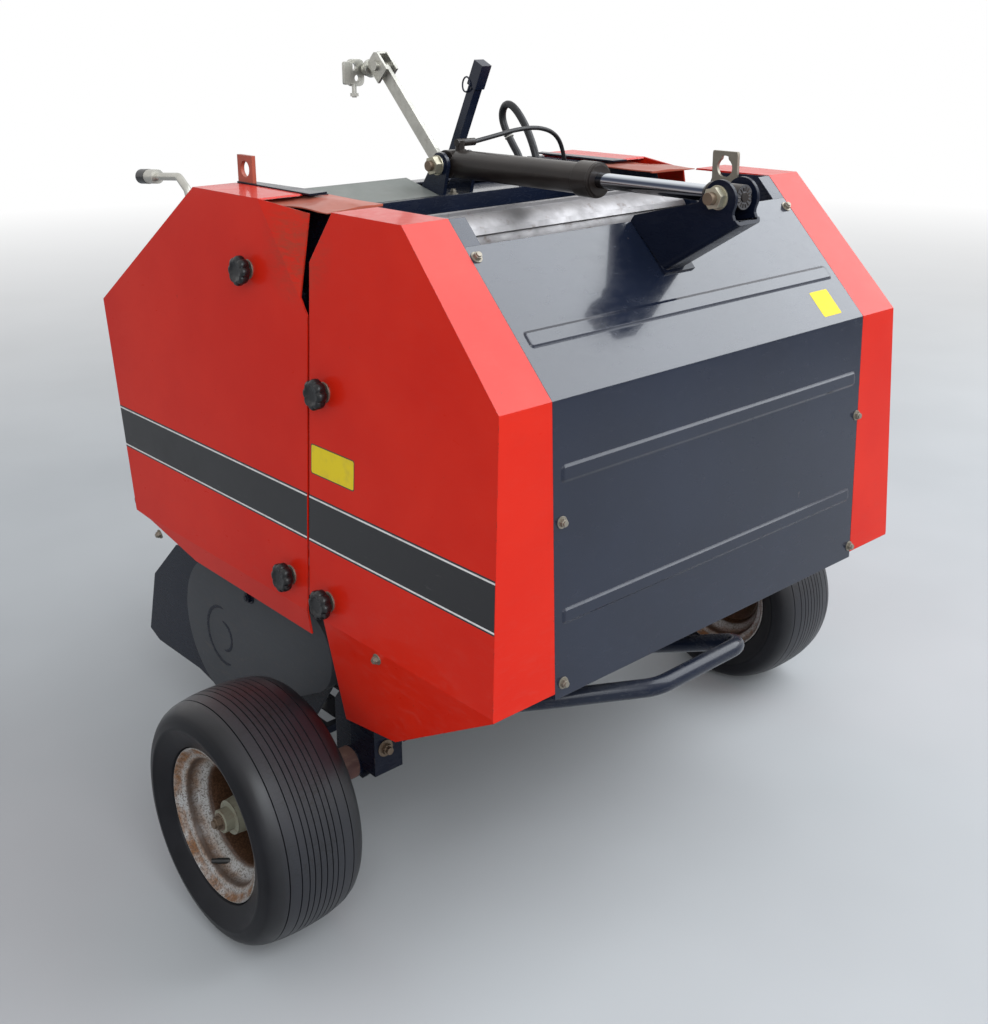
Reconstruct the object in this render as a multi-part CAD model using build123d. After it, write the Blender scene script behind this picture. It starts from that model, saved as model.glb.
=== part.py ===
from build123d import *
import math
import os

# Mini round baler. Millimetres, X forward, Y to the left, Z up from the ground.
# Every place along X is measured from the wheels' axle; the export moves the whole
# machine so that its origin lies under the middle of its length.

# Driving dimensions: wheels
TYRE_R = 190.0
TYRE_W = 171.0
WHEEL_Y = 589.0
RIM_FLANGE_R = 118.0
BEAD_SEAT_R = 101.6
RIM_HALF_W = 66.0
HUB_R = 38.0
STUB_R = 15.0
RUNNING_FIT = 0.06

# Bale chamber and its rollers
CHAMBER_X = -20.0
CHAMBER_Z = 700.0
ROLLER_CIRCLE_R = 292.0
ROLLER_R = 48.0
ROLLER_WALL = 4.0
ROLLER_RIB = 6.0
SHAFT_R = 15.0
SIDE_IN = 344.0
SIDE_T = 6.0
SIDE_OUT = SIDE_IN + SIDE_T
PLATE_GAP = 0.3
GATE_ROLLER_ANGLES = (120.0, 157.5, 195.0, 232.5)
FRONT_ROLLER_ANGLES = (45.0, 7.5, -30.0, -90.0)

# Tailgate hinge, on the axis of the top roller
HINGE_X = 17.0
HINGE_Z = 990.0

# Red covers: the side face leans in towards the top
COVER_FOOT_Y = 488.0
COVER_LEAN = 0.055
COVER_T = 3.0
COVER_IN = SIDE_OUT + PLATE_GAP
CREASE_Z = 467.0
PLATE_TOP_Z = 1066.0
FLAP_LEAN = math.tan(math.radians(8.0))
SPLIT_X = 19.0
SPLIT_GAP = 5.5
TOP_Z = 1077.0
GATE_TOP_X = -195.0
GATE_FOLD_X = -393.0
GATE_FOLD_Z = 868.0
GATE_FOOT_X = -404.0
GATE_FOOT_Z = 452.0
FRONT_TOP_X = 342.0
FRONT_FOLD_X = 683.0
FRONT_FOLD_Z = 845.0
FRONT_FOOT_X = 580.0

# Cylinder that opens the tailgate
BASE_PIN_X = 205.0
ROD_PIN_X = -385.0
CYLINDER_Z = 1092.0
BARREL_R = 24.0
ROD_R = 12.0
PIN_R = 9.5
BARREL_LENGTH = 343.0

# Star knobs of the covers
KNOB_R = 18.5
KNOB_LOBES = 7

# Pickup
REEL_X = 366.0
REEL_Z = 284.0
TINE_TIP_R = 200.0
BAND_R = 155.0
PICKUP_HALF = 400.0
PIVOT_X = 100.0
PIVOT_Z = 355.0
CASE_FRONT_R = 137.0
CASE_REAR_R = 74.0
CASE_DEPTH = 18.0

# Hitch and input shaft
LINK_PIN_X = 710.0
LINK_PIN_Z = 430.0
LINK_PIN_R = 11.0
LINK_HALF = 341.5
LINK_PIN_LENGTH = 58.0
HITCH_HALF = LINK_HALF + LINK_PIN_LENGTH + 0.5
HITCH_Z = (450.0, 510.0)
TOP_PIN_X = 693.0
TOP_PIN_Z = 890.0
TOP_PIN_R = 9.5
INPUT_Z = 600.0
INPUT_R = 17.45
STAND_X = 680.0
STAND_Y = 150.0
STAND_PIVOT_Z = 395.0

# Reach of the whole machine, front and rear
HITCH_TIP_X = 745.0
GUARD_RUN_X = -413.0
GUARD_TUBE_R = 13.5
GUARD_Z = 400.0
ORIGIN_X = (HITCH_TIP_X + GUARD_RUN_X - GUARD_TUBE_R) / 2

parts = {}


# Helpers for plates, bars and tubes
def slab(points, y_low, y_high):
    """A flat plate: an outline in X and Z, from y_low to y_high."""
    wire = Polyline([(x, y_low, z) for x, z in points], close=True)
    return extrude(make_face(wire), y_high - y_low, dir=(0, 1, 0))


def strip_x(points, x_low, x_high):
    """A long bar along X: an outline in Y and Z, from x_low to x_high."""
    wire = Polyline([(x_low, y, z) for y, z in points], close=True)
    return extrude(make_face(wire), x_high - x_low, dir=(1, 0, 0))


def rod_y(x, z, radius, y_low, y_high):
    """A round bar along Y."""
    disc = Plane((x, y_low, z), x_dir=(1, 0, 0), z_dir=(0, 1, 0)) * Circle(radius)
    return extrude(disc, y_high - y_low)


def rod_between(a, b, radius):
    """A round bar from point a to point b."""
    axis = Vector(*b) - Vector(*a)
    return extrude(Plane(a, z_dir=axis) * Circle(radius), axis.length)


def block(x, y, z):
    """A box given by its low and high values along each axis."""
    size = (x[1] - x[0], y[1] - y[0], z[1] - z[0])
    middle = ((x[0] + x[1]) / 2, (y[0] + y[1]) / 2, (z[0] + z[1]) / 2)
    return Pos(*middle) * Box(*size)


def inset(points, distances):
    """The outline with each edge moved inwards by its own distance (clockwise or not)."""
    count = len(points)
    area = 0.0
    for i in range(count):
        x0, z0 = points[i]
        x1, z1 = points[(i + 1) % count]
        area += x0 * z1 - x1 * z0
    turn = 1.0 if area > 0 else -1.0
    lines = []
    for i in range(count):
        x0, z0 = points[i]
        x1, z1 = points[(i + 1) % count]
        length = math.hypot(x1 - x0, z1 - z0)
        nx = -(z1 - z0) / length * turn
        nz = (x1 - x0) / length * turn
        shift = distances[i]
        lines.append((x0 + nx * shift, z0 + nz * shift, x1 - x0, z1 - z0))
    result = []
    for i in range(count):
        ax, az, adx, adz = lines[i - 1]
        bx, bz, bdx, bdz = lines[i]
        cross = adx * bdz - adz * bdx
        t = ((bx - ax) * bdz - (bz - az) * bdx) / cross
        result.append((ax + adx * t, az + adz * t))
    return result


def mirrored(shape):
    """The same piece on the right side of the machine."""
    return mirror(shape, about=Plane.XZ)


def both_sides(name, shape):
    """Stores a left piece and its mirror image as one node of two solids."""
    parts[name] = shape + mirrored(shape)


def roller_place(angle):
    """Centre of a chamber roller at an angle round the bale."""
    a = math.radians(angle)
    return (CHAMBER_X + ROLLER_CIRCLE_R * math.cos(a), CHAMBER_Z + ROLLER_CIRCLE_R * math.sin(a))


def cover_y(z):
    """Outer face of the red covers at a height."""
    if z >= CREASE_Z:
        return COVER_FOOT_Y - COVER_LEAN * z
    return COVER_FOOT_Y - COVER_LEAN * CREASE_Z - FLAP_LEAN * (CREASE_Z - z)


# Wheels: tyre ring with its true outside, dished rim, hub
BEAD_Y = 56.5
tyre_half = TYRE_W / 2
tyre_outer = [(BEAD_SEAT_R + 0.3, BEAD_Y), (152, tyre_half), (TYRE_R, 50)]
tyre_profile = tyre_outer + [(r, -y) for r, y in reversed(tyre_outer)]
tyre_ring = revolve(make_face(Polyline(tyre_profile, close=True)), axis=Axis.Y)

RIM_T = 3.0
DISC_Y = -18.0
rim_outline = [
    (RIM_FLANGE_R, RIM_HALF_W + 3), (RIM_FLANGE_R, RIM_HALF_W), (BEAD_SEAT_R, RIM_HALF_W - 6),
    (BEAD_SEAT_R - 2, 40), (80, 26), (80, -26), (BEAD_SEAT_R - 2, -40), (BEAD_SEAT_R, -RIM_HALF_W + 6),
    (RIM_FLANGE_R, -RIM_HALF_W), (RIM_FLANGE_R, -RIM_HALF_W - 3), (BEAD_SEAT_R - RIM_T, -RIM_HALF_W + 3),
    (BEAD_SEAT_R - 2 - RIM_T, -40), (80 - RIM_T, -26), (80 - RIM_T, 26), (BEAD_SEAT_R - 2 - RIM_T, 40),
    (BEAD_SEAT_R - RIM_T, RIM_HALF_W - 3)]
disc_outline = [
    (HUB_R + PLATE_GAP, DISC_Y + 12), (58, DISC_Y + 12), (80 - RIM_T + 1, DISC_Y),
    (80 - RIM_T + 1, DISC_Y - 5), (58, DISC_Y + 7), (HUB_R + PLATE_GAP, DISC_Y + 7)]
rim_shape = revolve(make_face(Polyline(rim_outline, close=True)), axis=Axis.Y)
rim_shape += revolve(make_face(Polyline(disc_outline, close=True)), axis=Axis.Y)

HUB_HALF = 48.0
hub_outline = [
    (STUB_R + RUNNING_FIT, -HUB_HALF), (30, -HUB_HALF), (30, DISC_Y + 1), (52, DISC_Y + 1), (52, DISC_Y + 6.7),
    (HUB_R, DISC_Y + 6.7), (HUB_R, DISC_Y + 14), (30, DISC_Y + 18), (26, HUB_HALF - 10),
    (STUB_R + RUNNING_FIT, HUB_HALF - 10)]
hub_shape = revolve(make_face(Polyline(hub_outline, close=True)), axis=Axis.Y)
for k in range(4):
    a = math.radians(45 + 90 * k)
    hub_shape += rod_y(47 * math.cos(a), 47 * math.sin(a), 6.5, DISC_Y + 6, DISC_Y + 24)
    rim_shape -= rod_y(47 * math.cos(a), 47 * math.sin(a), 6.8, DISC_Y, DISC_Y + 14)
for side, name in ((1, "left"), (-1, "right")):
    turn = Rot(0, 0, 0 if side == 1 else 180)
    place = Pos(0, side * WHEEL_Y, TYRE_R)
    parts["tyre_" + name] = place * turn * tyre_ring
    parts["rim_" + name] = place * turn * rim_shape
    parts["hub_" + name] = place * turn * hub_shape

# Axle beam, wheel brackets and stub axles
BEAM_X = (-58.0, 12.0)
BEAM_Z = (238.0, 290.0)
BEAM_HALF = 392.0
beam = block(BEAM_X, (-BEAM_HALF, BEAM_HALF), BEAM_Z)
beam -= block((BEAM_X[0] + 5, BEAM_X[1] - 5), (-BEAM_HALF - 1, BEAM_HALF + 1), (BEAM_Z[0] + 5, BEAM_Z[1] - 5))
parts["axle_beam"] = beam
BRACKET_Y = (BEAM_HALF, BEAM_HALF + 8)
bracket = slab([(-58, 200), (-58, 296), (-20, 322), (18, 322), (48, 282), (48, 175), (-20, 165)], *BRACKET_Y)
bracket += block((-64, 0), (BRACKET_Y[1], BRACKET_Y[1] + 6), (191, 300))
bracket += block((-64, BEAM_X[0] - 0.2), (BEAM_HALF - 40, BRACKET_Y[1] + 6), (191, 300))
bracket += rod_y(0, TYRE_R, 26, BRACKET_Y[1], BRACKET_Y[1] + 50)
bracket += rod_y(0, TYRE_R, STUB_R, BRACKET_Y[1] + 50, WHEEL_Y + HUB_HALF - 6)
stub_nut = rod_y(0, TYRE_R, 17, WHEEL_Y + HUB_HALF - 9.7, WHEEL_Y + HUB_HALF + 6)
both_sides("wheel_brackets", bracket + stub_nut)

# Side plates of the fixed front frame
hinge_roller = (HINGE_X, HINGE_Z)
BEARING_R = 34.0
frame_outline = [
    (SPLIT_X + 1, 500), (SPLIT_X + 1, HINGE_Z - 40), (-12, HINGE_Z - 27), (-20, HINGE_Z), (-12, HINGE_Z + 27),
    (10, HINGE_Z + 39), (HINGE_X + 19, HINGE_Z + 35), (52, PLATE_TOP_Z), (340, PLATE_TOP_Z), (655, 848),
    (640, 720), (640, 520), (560, 512), (215, 512), (150, 468), (124, 448), (118, 330), (60, 232), (-66, 232),
    (-66, 400), (-62, 450), (4, 460)]
frame_plate = slab(frame_outline, SIDE_IN, SIDE_OUT)
fixed_rollers = [hinge_roller] + [roller_place(a) for a in FRONT_ROLLER_ANGLES]
for x, z in fixed_rollers:
    frame_plate += rod_y(x, z, BEARING_R, SIDE_OUT, SIDE_OUT + 10)
    frame_plate -= rod_y(x, z, SHAFT_R + RUNNING_FIT, SIDE_IN - 1, SIDE_OUT + 11)
frame_plate -= block(BEAM_X, (SIDE_IN - 1, SIDE_OUT + 1), BEAM_Z)
frame_plate += rod_y(PIVOT_X, PIVOT_Z, 16, SIDE_OUT, PICKUP_HALF - 4.3)
frame_plate += rod_y(PIVOT_X, PIVOT_Z, 12 - RUNNING_FIT, PICKUP_HALF - 4.3, PICKUP_HALF + 10)
both_sides("side_plates", frame_plate)

# Top beams, front panel and top deck between the side plates
top_frame = block((196, 292), (-SIDE_IN, SIDE_IN), (1000, 1040))
top_frame -= block((200, 288), (-SIDE_IN - 1, SIDE_IN + 1), (1004, 1036))
BASE_EAR_Y = 27.0
ear = [(BASE_PIN_X - 8, 1040), (BASE_PIN_X + 58, 1040), (BASE_PIN_X + 21, CYLINDER_Z),
       (BASE_PIN_X - 21, CYLINDER_Z)]
for side in (1, -1):
    y = sorted((side * BASE_EAR_Y, side * (BASE_EAR_Y + 7)))
    top_frame += slab(ear, y[0], y[1]) + rod_y(BASE_PIN_X, CYLINDER_Z, 21, y[0], y[1])
top_frame += rod_y(BASE_PIN_X, CYLINDER_Z, PIN_R, -BASE_EAR_Y - 12, BASE_EAR_Y + 14)
top_frame += rod_y(BASE_PIN_X, CYLINDER_Z, 15, BASE_EAR_Y + 7, BASE_EAR_Y + 12)
parts["top_frame"] = top_frame

panel_outline = [(300, 1052), (334, 1052), (372, 1000), (372, 540), (369, 540), (369, 999), (332, 1049),
                 (300, 1049)]
front_panel = slab(panel_outline, -SIDE_IN, SIDE_IN)
front_panel -= block((299, 345), (SIDE_IN - 8, SIDE_IN + 1), (1029, 1119))
parts["front_panel"] = front_panel
deck_outline = [(205, 1040.3), (208, 1040.3), (296, 1060), (296, 1063)]
parts["top_deck"] = slab(deck_outline, BASE_EAR_Y + 8, 280)

# Lifting eyes: one at the left front corner, one on the tailgate's right side plate
eye_plate = slab([(300, 1030), (344, 1030), (344, 1122), (300, 1122)], SIDE_IN - 7, SIDE_IN)
parts["lifting_eyes"] = eye_plate - rod_y(322, 1100, 13, SIDE_IN - 8, SIDE_IN + 1)
gate_eye = slab([(-130, 1040), (-84, 1040), (-84, 1112), (-130, 1112)], -SIDE_IN, -SIDE_IN + 6)
gate_eye -= rod_y(-107, 1094, 9, -SIDE_IN - 1, -SIDE_IN + 7)
gate_eye -= slab([(-122, 1062), (-92, 1062), (-92, 1078), (-122, 1078)], -SIDE_IN - 1, -SIDE_IN + 7)
parts["gate_lifting_eye"] = gate_eye

# Chamber rollers: hollow ribbed drums on shafts
ROLLER_HALF = SIDE_IN - 3
SPROCKET_Y = 372.0


def roller(x, z):
    drum = rod_y(0, 0, ROLLER_R, -ROLLER_HALF, ROLLER_HALF)
    for k in range(6):
        rib = block((ROLLER_R - 2, ROLLER_R + ROLLER_RIB), (-ROLLER_HALF + 6, ROLLER_HALF - 6), (-5, 5))
        drum += Rot(0, 60 * k + 30, 0) * rib
    drum -= rod_y(0, 0, ROLLER_R - ROLLER_WALL, -ROLLER_HALF + 8, ROLLER_HALF - 8)
    drum += rod_y(0, 0, SHAFT_R, -SPROCKET_Y, SPROCKET_Y + 14)
    drum += rod_y(0, 0, 40, SPROCKET_Y, SPROCKET_Y + 8)
    return Pos(x, 0, z) * drum


parts["roller_hinge"] = roller(*hinge_roller)
for k, a in enumerate(FRONT_ROLLER_ANGLES):
    parts["roller_front_" + str(k + 1)] = roller(*roller_place(a))
for k, a in enumerate(GATE_ROLLER_ANGLES):
    parts["roller_gate_" + str(k + 1)] = roller(*roller_place(a))

# Tailgate side plates, lugs and bent panel
PANEL_T = 2.5
gate_fold = [(-227, 1042), (GATE_FOLD_X, GATE_FOLD_Z), (GATE_FOOT_X, GATE_FOOT_Z)]
gate_inner = inset([(-195, 1075.5), (GATE_FOLD_X, GATE_FOLD_Z), (GATE_FOOT_X, GATE_FOOT_Z), (-100, GATE_FOOT_Z),
                    (-100, 1075.5)], [PANEL_T, PANEL_T, 0, 0, 0])
gate_outline = [
    (-84, 1073), gate_inner[0], gate_inner[1], gate_inner[2], (-385, 450), (-330, 425),
    (-300, 408), (-130, 408), (-92, 470),
    (-10, 474), (13, 520), (13, HINGE_Z - 50), (-34, HINGE_Z - 20), (-40, HINGE_Z), (-62, 1016)]
gate_plate = slab(gate_outline, SIDE_IN, SIDE_OUT)
lug = slab([(-120, HINGE_Z - 44), (HINGE_X, HINGE_Z - 44), (HINGE_X, HINGE_Z + 44), (-28, HINGE_Z + 36),
            (-60, HINGE_Z + 22), (-120, HINGE_Z + 22)],
           SIDE_OUT + PLATE_GAP, SIDE_OUT + PLATE_GAP + 8)
LUG_BORE_R = BEARING_R + RUNNING_FIT
lug += rod_y(HINGE_X, HINGE_Z, BEARING_R + 10, SIDE_OUT + PLATE_GAP, SIDE_OUT + PLATE_GAP + 8)
lug -= rod_y(HINGE_X, HINGE_Z, LUG_BORE_R, SIDE_OUT, SIDE_OUT + 12)
gate_plate += lug + block((-118, -60), (SIDE_OUT, SIDE_OUT + 1), (HINGE_Z - 42, HINGE_Z + 20))
for a in GATE_ROLLER_ANGLES:
    x, z = roller_place(a)
    gate_plate += rod_y(x, z, BEARING_R, SIDE_OUT, SIDE_OUT + 10)
    gate_plate -= rod_y(x, z, SHAFT_R + RUNNING_FIT, SIDE_IN - 1, SIDE_OUT + 11)
both_sides("gate_plates", gate_plate)

panel_profile = gate_fold + [
    (gate_inner[2][0], GATE_FOOT_Z), gate_inner[1], (-227 + 1.8, 1040.3)]
panel = slab(panel_profile, -SIDE_OUT, SIDE_OUT)
slope_axis = Vector(GATE_FOLD_X + 227, 0, GATE_FOLD_Z - 1042).normalized()
slope_normal = Vector(GATE_FOLD_Z - 1042, 0, 166).normalized()
rib_table = ((934.0, "slope"), (780.0, "rear"), (575.0, "rear"))
RIB_HALF = 340.0
RIB_HEIGHT = 15.0
for z, where in rib_table:
    if where == "slope":
        t = (1042 - z) / (1042 - GATE_FOLD_Z)
        centre = (-227 + (GATE_FOLD_X + 227) * t, 0, z)
        plane = Plane(centre, x_dir=(0, 1, 0), z_dir=(-0.7236, 0, 0.6902))
    else:
        t = (GATE_FOLD_Z - z) / (GATE_FOLD_Z - GATE_FOOT_Z)
        centre = (GATE_FOLD_X + (GATE_FOOT_X - GATE_FOLD_X) * t, 0, z)
        plane = Plane(centre, x_dir=(0, 1, 0), z_dir=(-0.99965, 0, 0.02643))
    panel += extrude(plane * SlotOverall(2 * RIB_HALF, RIB_HEIGHT), 4, both=True)
parts["tailgate_panel"] = panel

# Corner strips above the slope of the tailgate, one at each side
trim = slab([(-195, 1075.5), (-227, 1042), (-225.2, 1040.3), (-193.2, 1073.8)], 321, SIDE_OUT)
both_sides("gate_trim", trim)

# Channel arm that holds the rod's pin, welded to the slope of the tailgate
ARM_LOW = -38.0
ARM_HIGH = 26.0
ARM_T = 6.0
ARM_EYE_R = 21.0
arm_side = [(-226, 1043.3), (-232, 1052), (-352, 1082), (-366, 1092), (-404, 1100), (-411, 1092), (-411, 1060),
            (-392, 1056), (-291, 977.5)]
arm = slab(arm_side, ARM_LOW, ARM_LOW + ARM_T) + slab(arm_side, ARM_HIGH - ARM_T, ARM_HIGH)
for y in (ARM_LOW, ARM_HIGH - ARM_T):
    arm += rod_y(ROD_PIN_X, CYLINDER_Z, ARM_EYE_R, y, y + ARM_T)
arm_web = [(-411, 1060), (-392, 1056), (-291, 977.5), (-287, 981.5), (-388, 1062), (-408, 1066)]
arm += slab(arm_web, ARM_LOW, ARM_HIGH)
arm += slab([(-291, 977.5), (-287.6, 981), (-262, 1005), (-266, 1001)], ARM_HIGH - 1, ARM_HIGH + 12)
arm += rod_y(ROD_PIN_X, CYLINDER_Z, PIN_R, ARM_HIGH, ARM_HIGH + 16)
arm += rod_y(ROD_PIN_X, CYLINDER_Z, 14, ARM_LOW - 9, ARM_LOW)
arm += rod_y(ROD_PIN_X, CYLINDER_Z, 15, ARM_HIGH, ARM_HIGH + 3)
arm += rod_y(ROD_PIN_X, CYLINDER_Z, 12, ARM_HIGH, ARM_HIGH + 12)
parts["tailgate_arm"] = arm

# Cylinder: barrel with its base eye, chrome rod with its eye
EYE_HALF = 20.0
barrel = rod_y(BASE_PIN_X, CYLINDER_Z, BARREL_R, -EYE_HALF, EYE_HALF)
barrel += rod_between((BASE_PIN_X - 15, 0, CYLINDER_Z), (BASE_PIN_X - BARREL_LENGTH, 0, CYLINDER_Z), BARREL_R)
barrel += rod_between((BASE_PIN_X - BARREL_LENGTH + 34, 0, CYLINDER_Z),
                      (BASE_PIN_X - BARREL_LENGTH + 2, 0, CYLINDER_Z), BARREL_R + 3)
barrel += rod_between((190, 0, CYLINDER_Z + 15), (190, 0, CYLINDER_Z + 40), 8)
barrel += rod_between((190, 8, CYLINDER_Z + 36), (190, -BARREL_R - 8, CYLINDER_Z + 36), 6.5)
barrel -= rod_y(BASE_PIN_X, CYLINDER_Z, PIN_R + RUNNING_FIT, -30, 30)
barrel -= rod_between((BASE_PIN_X - 40, 0, CYLINDER_Z), (BASE_PIN_X - BARREL_LENGTH - 5, 0, CYLINDER_Z), ROD_R + RUNNING_FIT)
parts["cylinder_barrel"] = barrel
rod = rod_between((BASE_PIN_X - BARREL_LENGTH + 120, 0, CYLINDER_Z), (ROD_PIN_X + 15, 0, CYLINDER_Z), ROD_R)
rod += rod_between((ROD_PIN_X + 33, 0, CYLINDER_Z), (ROD_PIN_X - 24, 0, CYLINDER_Z), 17)
rod += rod_y(ROD_PIN_X, CYLINDER_Z, PIN_R, ARM_LOW + ARM_T + 0.6, ARM_HIGH - ARM_T - 0.6)
parts["cylinder_rod"] = rod


# Red covers: side face, rim flanges, lower edge bent in
def cover_space(offset):
    """Everything on the inner side of the covers' outer face, moved in by offset."""
    outline = [(COVER_IN - 60, 0), (cover_y(0) - offset, 0), (cover_y(CREASE_Z) - offset, CREASE_Z),
               (cover_y(1200) - offset, 1200), (COVER_IN - 60, 1200)]
    return strip_x(outline, -500, 800)


def cover(outline, edges):
    """A folded cover; each edge of its outline has a flange, or is open."""
    shift = {"flange": COVER_T, "open": -20.0}
    inner = inset(outline, [shift[e] for e in edges])
    outside = slab(outline, COVER_IN, 520) & cover_space(0)
    inside = slab(inner, COVER_IN - 1, 520) & cover_space(COVER_T)
    return outside - inside


front_cover_outline = [
    (SPLIT_X, 923), (150, TOP_Z), (FRONT_TOP_X, TOP_Z), (FRONT_FOLD_X, FRONT_FOLD_Z), (FRONT_FOOT_X, CREASE_Z),
    (528, 463), (375, 430), (SPLIT_X, 426)]
front_edges = ("open", "flange", "flange", "flange", "open", "open", "open", "open")
front_cover = cover(front_cover_outline, front_edges)
RECESS_ANGLE = 12.0
low = Vector(SPLIT_X, cover_y(923), 923)
high = Vector(150, cover_y(TOP_Z), TOP_Z)
crease_axis = Axis(low, high - low)
recess_points = [low, high, Vector(38, cover_y(1067), 1067), Vector(37, cover_y(947), 947)]
recess_face = make_face(Polyline([tuple(p) for p in recess_points], close=True))
recess = extrude(recess_face, COVER_T, dir=(0, -1, -COVER_LEAN))
front_cover += recess.rotate(crease_axis, RECESS_ANGLE)
gate_cover_outline = [
    (SPLIT_X - SPLIT_GAP, 1001), (-41, TOP_Z - 1), (GATE_TOP_X, TOP_Z - 1), (GATE_FOLD_X, GATE_FOLD_Z),
    (GATE_FOOT_X, 461.5), (-166, 316), (-38, 296), (-24, CREASE_Z), (SPLIT_X - SPLIT_GAP, 496)]
gate_edges = ("open", "flange", "flange", "flange", "open", "open", "open", "open", "open")
gate_cover = cover(gate_cover_outline, gate_edges)
both_sides("front_covers", front_cover)
both_sides("gate_covers", gate_cover)

# Star knobs with their studs, one group on each body
knob_table = ((202.0, 962.0, "front"), (86.0, 498.0, "front"), (-4.0, 812.0, "gate"), (-17.0, 489.0, "gate"))
knob_groups = {}
for x, z, body in knob_table:
    y = cover_y(z)
    tilt = math.degrees(math.atan(COVER_LEAN))
    head = Circle(KNOB_R - 3.5)
    for k in range(KNOB_LOBES):
        head += Rot(0, 0, 360 * k / KNOB_LOBES) * Pos(KNOB_R - 5, 0) * Circle(5)
    knob = extrude(head, 13) + Pos(0, 0, 12) * extrude(Circle(KNOB_R - 6), 4)
    knob = Pos(x, y + 7, z) * Rot(-90 + tilt, 0, 0) * knob
    knob += Pos(x, y + 0.3, z) * Rot(-90 + tilt, 0, 0) * extrude(Circle(12), 8)
    stud = rod_y(x, z, 5, SIDE_OUT, y + 3)
    for side in (1, -1):
        piece = knob + stud
        if side == -1:
            piece = mirrored(piece)
        knob_groups.setdefault(body, []).append((piece, stud, side))
for body, group in knob_groups.items():
    total = None
    for piece, stud, side in group:
        total = piece if total is None else total + piece
    parts["cover_knobs_" + body] = total
for x, z, body in knob_table:
    hole = rod_y(x, z, 5.4, SIDE_OUT - 1, 520)
    parts[body + "_covers"] -= hole
    parts[body + "_covers"] -= mirrored(hole)

# Bridge plates over the notch, fixed to the front frame
bridge = block((5, 214), (300, 392), (PLATE_TOP_Z, PLATE_TOP_Z + 3))
bridge += block((5, 8), (300, 392), (PLATE_TOP_Z, PLATE_TOP_Z + 7))
both_sides("bridge_plates", bridge)

# Top rails: flat strips along the upper edge of the fixed frame
rail = block((216, 299.5), (302, 350), (PLATE_TOP_Z + 0.3, PLATE_TOP_Z + 3.3))
rail += block((150, 342), (302, 336), (PLATE_TOP_Z + 3.3, PLATE_TOP_Z + 7))
both_sides("top_rails", rail)

# Bale guard: a bent tube behind the axle beam
GUARD_FOOT_X = BEAM_X[0] - 0.2
guard_points = [(GUARD_FOOT_X, 325, 266), (-95, 325, 266), (-240, 322, 362), (-330, 297, GUARD_Z),
                (GUARD_RUN_X, 150, GUARD_Z), (GUARD_RUN_X, -58, GUARD_Z), (-100, -58, 266), (GUARD_FOOT_X, -58, 266)]
guard_path = FilletPolyline(*guard_points, radius=(40, 100, 100, 80, 40, 40))
parts["bale_guard"] = sweep(Plane(guard_path @ 0, z_dir=guard_path % 0) * Circle(GUARD_TUBE_R), path=guard_path)

# Pickup: side plates, throat, bands, cross angle
def capsule(x0, z0, r0, x1, z1, r1, y_low, y_high):
    """A plate with two round ends of different size."""
    distance = math.hypot(x1 - x0, z1 - z0)
    along = math.degrees(math.atan2(z1 - z0, x1 - x0))
    open_angle = math.degrees(math.acos((r0 - r1) / distance))
    points = []
    for centre, radius, angle in (((x0, z0), r0, along + open_angle), ((x1, z1), r1, along + open_angle),
                                  ((x1, z1), r1, along - open_angle), ((x0, z0), r0, along - open_angle)):
        a = math.radians(angle)
        points.append((centre[0] + radius * math.cos(a), centre[1] + radius * math.sin(a)))
    shape = slab(points, y_low, y_high)
    return shape + rod_y(x0, z0, r0, y_low, y_high) + rod_y(x1, z1, r1, y_low, y_high)


pickup_outline = [(40, 330), (60, 400), (300, 428), (560, 384), (660, 292), (700, 160), (664, 146), (503, 148),
                  (330, 118), (180, 118), (60, 290)]
pickup_plate = slab(pickup_outline, PICKUP_HALF - 4, PICKUP_HALF)
pickup_plate -= rod_y(PIVOT_X, PIVOT_Z, 12, PICKUP_HALF - 5, PICKUP_HALF + 1)
pickup_plate -= rod_y(REEL_X, REEL_Z, 14 + RUNNING_FIT, PICKUP_HALF - 5, PICKUP_HALF + 1)
both_sides("pickup_plates", pickup_plate)
case = capsule(REEL_X - 6, REEL_Z, CASE_FRONT_R, PIVOT_X, PIVOT_Z, CASE_REAR_R, PICKUP_HALF + 0.3,
               PICKUP_HALF + CASE_DEPTH)
case -= capsule(REEL_X - 6, REEL_Z, CASE_FRONT_R - 3, PIVOT_X, PIVOT_Z, CASE_REAR_R - 3, PICKUP_HALF,
                PICKUP_HALF + CASE_DEPTH - 3)
both_sides("pickup_cases", case)

band_count = 12
band_pitch = 2 * (PICKUP_HALF - 4) / (band_count + 1)
bands = None
outer = rod_y(REEL_X, REEL_Z, BAND_R, 0, 40) + block((200, REEL_X), (0, 40), (REEL_Z - BAND_R, REEL_Z + BAND_R))
inner = rod_y(REEL_X, REEL_Z, BAND_R - 3, -1, 41)
inner += block((150, REEL_X), (-1, 41), (REEL_Z - BAND_R + 3, REEL_Z + BAND_R - 3))
band = outer - inner
for k in range(band_count):
    y = -PICKUP_HALF + 4 + band_pitch * (k + 1) - 20
    piece = Pos(0, y, 0) * band
    bands = piece if bands is None else bands + piece
pan_half = PICKUP_HALF - 4.3
bands += block((150, 204), (-pan_half, pan_half), (REEL_Z + BAND_R - 3, REEL_Z + BAND_R))
bands += block((190, 204), (-pan_half, pan_half), (REEL_Z - BAND_R - 12, REEL_Z - BAND_R + 3))
parts["stripper_bands"] = bands

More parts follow.
